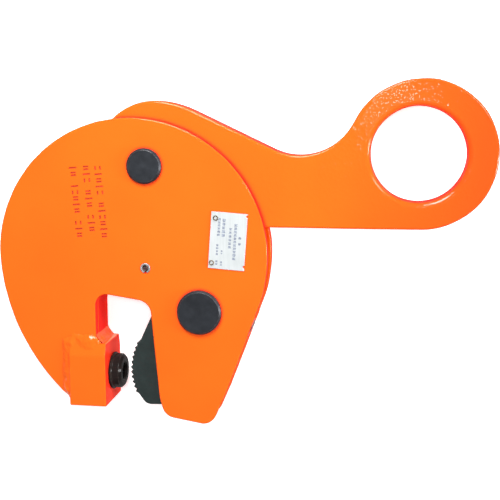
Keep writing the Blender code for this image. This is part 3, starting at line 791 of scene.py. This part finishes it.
def weld_bead(side, face, way, finish):
    """A laid bead: a fillet section swept round the block with overlapping ripples and lumps."""
    legs = weld_route()
    spans = [hypot(b[1][0] - a[1][0], b[1][1] - a[1][1]) for a, b in zip(legs, legs[1:])]
    shell = Shell()
    rows = []
    for s in range(WELD_STATIONS + 1):
        distance = sum(spans) * s / WELD_STATIONS
        leg, along = 0, distance
        while leg < len(spans) - 1 and along > spans[leg]:
            along -= spans[leg]
            leg += 1
        share = along / spans[leg]
        (inner0, outer0, rise0), (inner1, outer1, rise1) = legs[leg], legs[leg + 1]
        inner = Vector(inner0).lerp(Vector(inner1), share)
        outer = Vector(outer0).lerp(Vector(outer1), share)
        rise = rise0 + (rise1 - rise0) * share
        row = [bead_point(inner, outer, rise, distance, k / WELD_ACROSS) for k in range(WELD_ACROSS + 1)]
        rows.append([(x, y, face + way * z) for x, y, z in row])
    add_skin(shell, rows, -way)
    shell.build("painted_weld_" + side, [finish], "frame", ["weld_bead_" + side])


def bead_point(inner, outer, rise, distance, share):
    """A point across the bead: 0 at the toe on the plate, 1 at the block."""
    lump = noise.noise(Vector((distance / 5.5, share * 2.0, rise)))
    wander = WELD_TOE_WANDER * noise.noise(Vector((distance / 6.0, 0.0, rise)))
    flat = (outer + (outer - inner).normalized() * wander).lerp(inner, share)
    ripple = sin(2 * pi * (distance - 2.0 * (1 - (2 * share - 1) ** 2)) / WELD_RIPPLE)
    swell = sin(pi * share)
    relief = WELD_SWELL + WELD_RIPPLE_HEIGHT * ripple + WELD_LUMP_HEIGHT * lump
    return flat.x, flat.y, rise * share + swell * relief - WELD_TOE_SINK * (1 - share)


def add_skin(shell, rows, way, cut=0.0):
    """A smooth skin over rows of points; way (1 or -1) winds its faces and turns their normals."""
    rows = [[Vector(point) for point in row] for row in rows]
    width, last = len(rows[0]), len(rows) - 1
    first = len(shell.points)
    normals = []
    for r, row in enumerate(rows):
        for k, point in enumerate(row):
            shell.point(*point, cut=cut)
            along = rows[min(r + 1, last)][k] - rows[max(r - 1, 0)][k]
            across = row[min(k + 1, width - 1)] - row[max(k - 1, 0)]
            normals.append(across.cross(along) * way)
    for r in range(last):
        for k in range(width - 1):
            a = r * width + k
            corners = [a, a + 1, a + width + 1, a + width][::way]
            shell.face([first + c for c in corners], [normals[c] for c in corners])


THROAT_WELD_LEGS = (4.5, 6.3)
THROAT_WELD_SINK = 0.2
THROAT_WELD_INSET = 0.6
THROAT_WELD_STATIONS = 40
# The fillet counts as partly a cut side: about a third of the painted-shade red and less coat.
THROAT_WELD_CUT_SHADE = 0.79
THROAT_WELD_LUMPS = 0.28
THROAT_WELD_HOLLOW = 0.25


def throat_weld(finish):
    """Fillet between the throat wall and the ledge of the block's top, rippled through the thickness."""
    low, high = REAR_Z[0] + THROAT_WELD_INSET, FRONT_Z[1] - THROAT_WELD_INSET
    rows = []
    for s in range(THROAT_WELD_STATIONS + 1):
        z = low + (high - low) * s / THROAT_WELD_STATIONS
        rows.append([throat_weld_point(z, k / WELD_ACROSS) for k in range(WELD_ACROSS + 1)])
    shell = Shell()
    add_skin(shell, rows, 1, THROAT_WELD_CUT_SHADE)
    shell.build("painted_throat_weld", [finish], "frame", ["throat_weld"])


def throat_weld_point(z, share):
    """A point across the fillet: 0 up the throat wall, 1 out on the block's ledge."""
    lump = noise.noise(Vector((z / 4.0, share * 2, 7.1)))
    swell = sin(pi * share)
    ripple = WELD_RIPPLE_HEIGHT * sin(2 * pi * z / WELD_RIPPLE)
    reach = 1 + swell * (THROAT_WELD_LUMPS * lump + ripple)
    leg_x, leg_y = THROAT_WELD_LEGS
    x = THROAT_WALL - THROAT_WELD_SINK + leg_x * share * reach
    y = BLOCK_Y[1] - THROAT_WELD_SINK + leg_y * (1 - share) * reach * (1 - THROAT_WELD_HOLLOW * swell)
    return x, y, z


# ---- pad and its screw

def swivel_pad(finish):
    start, end = PAD_X
    bore = SCREW_R + 0.3
    corners = [(bore, start, 0), (PAD_BASE_R, start, 0.5), (PAD_BASE_R, start + 1.3, 0.5),
               (PAD_END_R + 0.15, start + 1.9, 0.4), (PAD_END_R, end - 1.6, 0.7), (PAD_END_R - 1.7, end, 0.6),
               (PAD_SOCKET_R + 0.7, end, 0.4), (PAD_SOCKET_R, end - 0.8, 0.3),
               (PAD_SOCKET_R, PAD_FLOOR_X, 0.4), (bore, PAD_FLOOR_X, 0)]
    turned("blackened_swivel_pad", corners, (0, 0), finish, "pad", ["swivel_pad"], along_x)


def pad_screw(finish):
    """Screw with a plain round head and a hexagon socket that faces the jaw."""
    shell = Shell(along_x)
    under = PAD_FLOOR_X + 0.15
    socket = (circle((0, 0), HEX_R, 6), HEX_DEPTH)
    add_slab(shell, circle((0, 0), SCREW_HEAD_R), under, SCREW_END_X, (0.2, 0.6), pits=[socket])
    shank = [(0, SCREW_TIP_X, 0), (SCREW_R - 0.4, SCREW_TIP_X, 0.3), (SCREW_R, under, 0)]
    add_turned(shell, shank, count=48)
    shell.build("blackened_pad_screw", [finish], "frame", ["pad_screw"])


# ---- arm, cam and link

def valley_centre():
    """Centre of the hollow that is tangent to the arm's sloping edge and to the ring."""
    along = Vector((cos(radians(SLOPE)), -sin(radians(SLOPE))))
    normal = Vector((sin(radians(SLOPE)), cos(radians(SLOPE))))
    ring = Vector(RING_CENTRE)
    height = normal.dot(Vector(CROWN_CENTRE)) + CROWN_R + VALLEY_R
    reach = RING_R + VALLEY_R
    back = (reach ** 2 - (height - ring.dot(normal)) ** 2) ** 0.5
    return tuple(normal * height + along * (ring.dot(along) - back))


def swept_slot(centre, direction, length):
    """Outline swept by the link's bar about one of its pins: two sides and the arc between them."""
    first, last = direction - OPENING_TRAVEL, direction + CLOSING_TRAVEL
    end = arc(centre, SLOT_HALF, last + 90, first + 270, 24)
    return [offset(end[0], length, last)] + end + [offset(end[-1], length, first)]


def arm_notches():
    """The hook's and the link's slots as they break through the arm's bottom edge, left to right."""
    swing = swept_slot(ARM_LINK, LINK_ANGLE - 180, ARM_SLOT_REACH)[::-1]
    bottom = [(-200.0, ARM_BOTTOM), (200.0, ARM_BOTTOM)]
    notches = []
    for path in (rounded(HOOK_SLOT), swing):
        mouth = [meeting(*side, bottom) for side in (path[:2], path[-2:])]
        notches += [mouth[0], *path[1:-1], mouth[1]]
    return notches


def arm_outline(notches=()):
    valley = valley_centre()
    to_ring = degrees(atan2(RING_CENTRE[1] - valley[1], RING_CENTRE[0] - valley[0]))
    heel_centre = offset(CROWN_CENTRE, CROWN_R - HEEL_R, HEEL_FROM)
    heel = arc(heel_centre, HEEL_R, HEEL_FROM, HEEL_TO, 54)
    toe_x, toe_r = ARM_TOE
    toe = rounded([(*heel[-1], 0), (toe_x, ARM_BOTTOM, toe_r), (-40.0, ARM_BOTTOM, 0)])[1:-1]
    ring = arc(RING_CENTRE, RING_R, -90, 180 + to_ring, 190)
    upper = (arc(valley, VALLEY_R, to_ring, -90 - SLOPE, 36)[1:]
             + arc(CROWN_CENTRE, CROWN_R, 90 - SLOPE, HEEL_FROM, 12)[:-1])
    bottom = [*notches, (20.0, ARM_BOTTOM), (80.0, ARM_BOTTOM)]
    return heel + toe + bottom + flame_cut(ring, 0.35, 14) + upper


def lifting_arm(finish):
    """The arm in three layers, the middle one notched for the spring hook and the link."""
    pivot = circle(ARM_PIVOT, ARM_BUSH_R + RUNNING)
    ring_hole = flame_cut(circle(RING_HOLE_CENTRE, RING_HOLE_R, 160)[::-1], 0.18, 14)
    shared = [circle(ARM_LINK, LINK_PIN_R + RUNNING, 48), circle(SPRING_POST, SPRING_POST_R + RUNNING, 32)]
    layers = ((SWING_Z[0], SLOT_Z[0], ARM_EDGE, 0, []), (*SLOT_Z, 0, 0, arm_notches()),
              (SLOT_Z[1], SWING_Z[1], 0, ARM_EDGE, []))
    shell = Shell()
    for low, high, low_r, high_r, notches in layers:
        holes = [(pivot, 0, 0), (ring_hole, HOLE_EDGE if low_r else 0, HOLE_EDGE if high_r else 0)]
        if not notches:
            holes += [(loop, 0, 0) for loop in shared]
        caps = (not notches, not notches)
        add_slab(shell, arm_outline(notches), low, high, (low_r, high_r), holes, caps=caps)
    shell.build("painted_lifting_arm", [finish], "arm", ["lifting_arm"])


def teeth():
    """Tooth tips and roots down the gripping arc, each with a small flat on its tip."""
    pitch = (TOOTH_TO - TOOTH_FROM) / TOOTH_COUNT
    points = []
    for i in range(TOOTH_COUNT):
        angle = TOOTH_FROM + i * pitch
        for radius, share in ((TOOTH_R - TOOTH_DEPTH, 0.0), (TOOTH_R, 0.42), (TOOTH_R, 0.50)):
            points.append(offset(TOOTH_CENTRE, radius, angle + share * pitch))
    return points + [offset(TOOTH_CENTRE, TOOTH_R - TOOTH_DEPTH, TOOTH_TO)]


def cam_outline(notch=()):
    grip = teeth()
    outline = grip + rounded([(*grip[-1], 0), *CAM_CORNERS, (*grip[0], 0)])[1:-1]
    return cut_notch(outline, notch) if notch else outline


def inside(point, polygon):
    x, y = point
    odd = False
    for (ax, ay), (bx, by) in sides_of(polygon):
        if (ay > y) != (by > y) and x < ax + (y - ay) * (bx - ax) / (by - ay):
            odd = not odd
    return odd


def meeting(a, b, polygon):
    """Where the segment from a to b first meets a closed outline."""
    hits = [intersect_line_line_2d(a, b, p, q) for p, q in sides_of(polygon)]
    return tuple(min((hit for hit in hits if hit is not None), key=lambda hit: (hit - Vector(a)).length))


def cut_notch(outline, loop):
    """An outline with a slot taken out where the loop crosses it, both counter-clockwise."""
    start = next(i for i, point in enumerate(outline)
                 if inside(point, loop) and not inside(outline[i - 1], loop))
    begun = outline[start:] + outline[:start]
    kept = [point for point in begun if not inside(point, loop)]
    entry = meeting(kept[-1], begun[0], loop)
    leave = meeting(kept[0], begun[begun.index(kept[0]) - 1], loop)
    inner = [i for i, point in enumerate(loop) if inside(point, outline)]
    walk = loop[inner[0]:inner[0] + len(inner)]
    return kept + [entry] + walk[::-1] + [leave]


def cam(finish):
    pivot = circle(CAM_PIVOT, CAM_BUSH_R + RUNNING)
    pin = circle(CAM_LINK, LINK_PIN_R + RUNNING, 48)
    swing = swept_slot(CAM_LINK, LINK_ANGLE, CAM_SLOT_REACH)
    shell = Shell()
    for low, high, edges in ((SWING_Z[0], SLOT_Z[0], (CAM_EDGE, 0)), (SLOT_Z[1], SWING_Z[1], (0, CAM_EDGE))):
        add_slab(shell, cam_outline(), low, high, edges, [(pivot, 0, 0), (pin, 0, 0)])
    add_slab(shell, cam_outline(swing), *SLOT_Z, holes=[(pivot, 0, 0)], caps=(False, False))
    shell.build("hardened_cam", [finish], "cam", ["cam"])


def link(finish):
    outline = (arc(ARM_LINK, LINK_HALF, LINK_ANGLE - 90, LINK_ANGLE + 90, 36)
               + arc(CAM_LINK, LINK_HALF, LINK_ANGLE + 90, LINK_ANGLE + 270, 36))
    holes = [(circle(centre, LINK_PIN_R + RUNNING, 48), 0.2, 0.2) for centre in (ARM_LINK, CAM_LINK)]
    shell = Shell()
    add_slab(shell, outline, *LINK_Z, (0.7, 0.7), holes)
    shell.build("blackened_link", [finish], "link", ["link"])


# ---- pins, rings, spring

def headed_pin(node, centre, radius, head_r, head, finish):
    seat = FRONT_Z[1] + FACE_GAP
    top = seat + head
    neck = radius - GROOVE_DEPTH
    low, high = GROOVE_Z
    corners = [(0, 0, 0), (radius - PIN_CHAMFER, 0, 0.25), (radius, PIN_CHAMFER, 0.25), (radius, low, 0),
               (neck, low, 0), (neck, high, 0), (radius, high, 0), (radius, seat, 0), (head_r, seat, 0.2),
               (head_r, top - HEAD_DOME, 0.5), (head_r - HEAD_DOME, top, 0.5), (0, top, 0)]
    turned("blackened_" + node, corners, centre, finish, "frame", [node])


def washer(node, centre, radius, finish):
    inner, outer = radius + WASHER_BORE, radius + WASHER_REACH
    low, high = WASHER_Z
    corners = [(inner, high, 0), (inner, low, 0.15), (outer, low, 0.3), (outer, high, 0.2), (inner, high, 0)]
    turned("plated_" + node, corners, centre, finish, "frame", [node])


def open_ring(centre, outer, inner, mouth_half):
    """A C-shaped outline with its mouth towards -Y."""
    return (arc(centre, outer, -90 + mouth_half, 270 - mouth_half, 60)
            + arc(centre, inner, 270 - mouth_half, -90 + mouth_half, 60))


def retaining_ring(node, centre, radius, finish):
    """Open spring ring with an eye at each end, in the pin's groove."""
    inner, outer = radius - GROOVE_DEPTH + RUNNING, radius + RING_REACH
    eye_angles = (-90 + RING_MOUTH_HALF + EYE_SETBACK, 270 - RING_MOUTH_HALF - EYE_SETBACK)
    eyes = [(circle(offset(centre, (inner + outer) / 2, angle), EYE_R, 20), 0.1, 0.1) for angle in eye_angles]
    outline = open_ring(centre, outer, inner, RING_MOUTH_HALF)
    shell = Shell()
    add_slab(shell, outline, GROOVE_Z[0] + RUNNING, GROOVE_Z[1] - RUNNING, (0.2, 0.2), eyes)
    shell.build("blackened_" + node, [finish], "frame", [node])


def spring_pin(finish):
    """Rolled pin with an open seam and rounded mouths."""
    outline = open_ring(SPRING_PIN, SPRING_PIN_R, SPRING_PIN_BORE, SPRING_PIN_SEAM_HALF)
    shell = Shell()
    add_slab(shell, outline, REAR_Z[0] - 0.3, FRONT_Z[1] + 0.4, (0.35, 0.35))
    shell.build("plated_spring_pin", [finish], "frame", ["spring_pin"])


SPRING_TURNS = 22
TURN_STEPS = 20
WIRE_SIDES = 10
HOOK_LEAD = 3.6
HOOK_SWEEP = 290.0


def spring_path():
    """Hook, close coils, hook, as drawing points."""
    axis = Vector(SPRING_POST) - Vector(SPRING_PIN)
    along = axis.normalized()
    across = Vector((-along.y, along.x))
    clear = SPRING_WIRE_R + 0.3
    low_hook, high_hook = SPRING_PIN_R + clear, SPRING_POST_R + clear
    begin, end = low_hook + HOOK_LEAD, axis.length - high_hook - HOOK_LEAD
    gap = (360 - HOOK_SWEEP) / 2
    local = [(u, w, 0) for u, w in arc((0, 0), low_hook, gap, gap + HOOK_SWEEP, 28)]
    steps = SPRING_TURNS * TURN_STEPS
    for i in range(steps + 1):
        turn = 2 * pi * i / TURN_STEPS
        local.append((begin + (end - begin) * i / steps, -SPRING_R * cos(turn), SPRING_R * sin(turn)))
    local += [(u, w, 0) for u, w in arc((axis.length, 0), high_hook, 180 + gap, 180 + gap + HOOK_SWEEP, 24)]
    start = Vector(SPRING_PIN)
    return [(*(start + along * u + across * w), MID_Z + z) for u, w, z in local]


def tension_spring(finish):
    """A round wire swept along the spring's path; it stretches between the frame and the arm."""
    path = [Vector(p) for p in spring_path()]
    last = len(path) - 1
    shell = Shell()
    side = Vector((0, 0, 1))
    normals = []
    for i, here in enumerate(path):
        along = (path[min(i + 1, last)] - path[max(i - 1, 0)]).normalized()
        side = (side - along * side.dot(along)).normalized()
        other = along.cross(side)
        for x, y in circle((0, 0), 1, WIRE_SIDES):
            normals.append(side * x + other * y)
            shell.point(*(here + normals[-1] * SPRING_WIRE_R))
    for start in range(0, last * WIRE_SIDES, WIRE_SIDES):
        for k in range(WIRE_SIDES):
            a, b = start + k, start + (k + 1) % WIRE_SIDES
            corners = (a, b, b + WIRE_SIDES, a + WIRE_SIDES)
            shell.face(corners, [normals[c] for c in corners])
    ring = list(range(WIRE_SIDES))
    shell.flat(ring[::-1], path[0] - path[1])
    shell.flat([last * WIRE_SIDES + k for k in ring], path[-1] - path[-2])
    piece = shell.build("coiled_tension_spring", [finish], None, ["tension_spring"])
    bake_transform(piece)


# ---- nameplate

def on_nameplate(u, v):
    """A point given across and up the nameplate, in drawing X and Y."""
    return rotated(NAME_CENTRE, NAME_TURN, u, v)


def nameplate(alloy):
    """Thin plate with two open corner notches on its right, where its other rivets would go."""
    half_w, half_h = NAME_SIZE[0] / 2, NAME_SIZE[1] / 2
    outline = [(-half_w, -half_h), (half_w, -half_h)]
    for bite_v in (-half_h + 2.6, half_h - 1.6):
        outline += arc((half_w, bite_v), NAME_HOLE_R, 270, 90, 8)
    outline += [(half_w, half_h), (-half_w, half_h)]
    holes = [(circle(on_nameplate(*spot), NAME_HOLE_R, 24), 0, 0) for spot in NAME_RIVETS]
    shell = Shell()
    add_slab(shell, [on_nameplate(u, v) for u, v in outline], *NAME_Z, (0.0, 0.18), holes)
    shell.build("printed_nameplate", [alloy], "frame", ["nameplate"])


BARS_PER_BLOCK = 3
BAR_TOP = 0.17
BAR_STEP = 0.33
BAR_THICKNESS = 0.26
PRINT_Z = (NAME_Z[1] - 0.02, NAME_Z[1] + 0.015)
# (across, top, bottom, glyph height, gap share) of each printed column of bars.
PRINT_COLUMNS = ((-6.1, 14.2, 1.6, 1.5, 0.30), (-3.1, 14.0, 1.4, 1.9, 0.25), (-6.4, -2.4, -11.2, 1.3, 0.45),
                 (-6.4, -12.6, -16.0, 1.3, 0.3), (-3.4, -6.0, -9.4, 1.0, 0.5), (-3.4, -13.0, -16.0, 1.2, 0.3),
                 (1.3, 8.6, -6.4, 1.6, 0.42), (4.5, 11.4, -12.8, 1.7, 0.25), (7.5, 3.4, -5.0, 1.5, 1.6))


def nameplate_print(finish):
    """Columns of small plain bars, a few to a block, that stand for print and have no meaning."""
    dice = random.Random(11)
    shell = Shell()
    for u, top, bottom, size, gap in PRINT_COLUMNS:
        v = top
        while v - size > bottom:
            for bar in range(BARS_PER_BLOCK):
                width = size * dice.uniform(0.8, 1.25)
                corners = box(u, v - size * (BAR_TOP + BAR_STEP * bar), width, size * BAR_THICKNESS)
                add_slab(shell, [on_nameplate(*corner) for corner in corners], *PRINT_Z)
            v -= size * (1 + gap)
    shell.build("nameplate_bars", [finish], "frame")


def rivets(rim_finish, core_finish):
    """Tubular rivets: a dark rolled rim round a pale hollow centre."""
    seat = NAME_Z[1]
    lip, dip = seat + RIVET_LIP, seat + RIVET_DIP
    rim = [(RIVET_BORE_R, RIVET_FOOT_Z, 0), (RIVET_BORE_R, seat, 0), (RIVET_R, seat, 0.05),
           (RIVET_R, lip - 0.15, 0.4), (RIVET_LIP_R + 0.1, lip, 0.3), (RIVET_LIP_R, dip, 0)]
    core = [(0, RIVET_FOOT_Z, 0), (RIVET_BORE_R, RIVET_FOOT_Z, 0)]
    dimple = [(RIVET_LIP_R, dip, 0), (0.4, dip + 0.1, 0.2), (0, dip + 0.1, 0)]
    for i, spot in enumerate(NAME_RIVETS, 1):
        shell = Shell()
        for slot, corners in ((1, core), (0, rim), (1, dimple)):
            add_turned(shell, corners, on_nameplate(*spot), 32, slot)
        node = f"nameplate_rivet_{i}"
        shell.build("rolled_" + node, [rim_finish, core_finish], "frame", [node])


# ---- stage

def aimed(location, target):
    """World matrix at location, looking at target, with +Y towards the top of the picture."""
    forward = (Vector(target) - Vector(location)).normalized()
    right = forward.cross(Vector((0, 1, 0))).normalized()
    up = right.cross(forward)
    turned_axes = Matrix((right, up, -forward)).transposed().to_4x4()
    return Matrix.Translation(location) @ turned_axes


def put(name, data, location=(0.0, 0.0, 0.0), target=None):
    """An object in the scene, aimed at a target if it has one."""
    holder = bpy.data.objects.new(name, data)
    if target:
        holder.matrix_world = aimed(location, target)
    bpy.context.scene.collection.objects.link(holder)
    return holder


def camera():
    lens = bpy.data.cameras.new("camera")
    lens.lens = 66.24
    lens.sensor_width = 36.0
    lens.clip_start = 0.01
    bpy.context.scene.camera = put("camera", lens, (0.08865, 0.0922, 0.5940), (0.0074, 0.0047, 0.0315))


# (name, place, target, size, power, seen in reflections), all in the shared frame.
LIGHTS = (
    ("diffuser", (0.0, 0.0, 1.6), (0.0, 0.0, 0.0), (2.6, 2.6), 8.4, False),
    ("front_light", (0.06, 0.11, 0.62), (-0.02, 0.0, 0.0), (0.16, 0.10), 1.45, False),
    ("softbox", (-0.06, 0.44, 0.44), (0.0, 0.0, 0.0), (0.26, 0.22), 4.3, True),
    ("lamp", (0.102, 0.100, 0.62), (-0.04, 0.0, 0.0), (0.020, 0.020), 0.045, True),
    ("right_fill", (0.75, -0.05, 0.25), (-0.09, -0.05, 0.02), (0.24, 0.16), 4.2, True),
    ("edge_light", (0.46, 0.30, 0.36), (0.0, 0.0, 0.0), (0.20, 0.14), 1.0, True))
SKY_STRENGTH = 0.22
TABLE_SIZE = 6.0


def studio():
    """Six area lights under a dim white sky; the small lamp gives the sparkle on the ring."""
    for name, location, target, size, power, mirrored in LIGHTS:
        lamp = bpy.data.lights.new(name, "AREA")
        lamp.shape = "RECTANGLE"
        lamp.size, lamp.size_y = size
        lamp.energy = power
        holder = put(name, lamp, location, target)
        holder.visible_glossy = mirrored
        holder.visible_camera = False
    world = bpy.data.worlds.new("sky")
    world.use_nodes = True
    sky = world.node_tree.nodes["Background"]
    sky.inputs["Color"].default_value = (1.0, 1.0, 1.0, 1.0)
    sky.inputs["Strength"].default_value = SKY_STRENGTH
    bpy.context.scene.world = world


def floor(finish):
    """A flat white table top that the clamp lies on."""
    corners = [(x, y, 0) for x, y in box(0, 0, TABLE_SIZE, TABLE_SIZE)]
    mesh = bpy.data.meshes.new("table")
    mesh.from_pydata(corners, [], [(0, 1, 2, 3)])
    mesh.materials.append(finish)
    put("table", mesh)


PINS = (("arm_pin", ARM_PIVOT, ARM_PIN_R, ARM_PIN_HEAD_R, ARM_PIN_HEAD),
        ("cam_pin", CAM_PIVOT, CAM_PIN_R, CAM_PIN_HEAD_R, CAM_PIN_HEAD))


def build_clamp(frame):
    """Makes every piece; five hidden CAD nodes keep their own shape and only get a finish."""
    plate_paint = paint("enamel_plate", 0.5)
    arm_paint = paint("enamel_arm", 1.0)
    weld_paint = paint("enamel_weld", 2.2, 0.0)
    oxide = blackened("oxide_pins", (0.028, 0.031, 0.037), (0.18, 0.18, 0.18))
    gloss = blackened("oxide_pad", (0.012, 0.009, 0.0085), (0.07, 0.06, 0.05), grain=500, gloss=(0.28, 0.40),
                      metallic=0.0, relief=0.00001, coat=0.16, specular=0.0)
    tool = blackened("hardened_cam", (0.019, 0.029, 0.028), (0.13, 0.14, 0.14), grain=1300,
                     gloss=(0.5, 0.66), metallic=0.3, relief=0.00003)
    plated = bright_steel("plated", (0.60, 0.61, 0.62), (0.3, 0.5))
    brown = bright_steel("rivet_brass", (0.20, 0.15, 0.09), (0.25, 0.4))
    pale = nameplate_alloy("rivet_core")
    side_plates(plate_paint, pit_shade_paint("enamel_in_pits"))
    throat_spacer(plate_paint)
    jaw_block(plate_paint)
    weld_bead("front", FRONT_Z[1], 1, weld_paint)
    weld_bead("rear", REAR_Z[0], -1, weld_paint)
    throat_weld(weld_paint)
    lifting_arm(arm_paint)
    cam(tool)
    link(tool)
    swivel_pad(gloss)
    pad_screw(gloss)
    for pin in PINS:
        headed_pin(*pin, oxide)
    for name, centre, radius, _, _ in PINS:
        washer(name + "_washer", centre, radius, plated)
        retaining_ring(name + "_ring", centre, radius, oxide)
    spring_pin(plated)
    tension_spring(plated)
    nameplate(nameplate_alloy("nameplate_metal"))
    nameplate_print(ink("print"))
    rivets(brown, pale)
    bush = bronze("bush_bronze")
    for node, finish in (("arm_bush", bush), ("cam_bush", bush), ("arm_link_pin", plated),
                         ("cam_link_pin", plated), ("spring_post", plated)):
        mesh = frame["nodes"][node].data
        mesh.materials.clear()
        mesh.materials.append(finish)


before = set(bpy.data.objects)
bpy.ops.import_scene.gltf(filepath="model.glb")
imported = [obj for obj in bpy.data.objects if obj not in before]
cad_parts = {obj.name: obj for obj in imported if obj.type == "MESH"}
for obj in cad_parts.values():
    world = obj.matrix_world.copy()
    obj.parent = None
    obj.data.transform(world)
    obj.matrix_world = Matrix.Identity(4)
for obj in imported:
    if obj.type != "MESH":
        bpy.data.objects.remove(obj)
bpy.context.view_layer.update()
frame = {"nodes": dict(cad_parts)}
build_clamp(frame)
floor(backdrop("table_top"))
studio()
camera()
bpy.context.scene.view_settings.view_transform = "Standard"
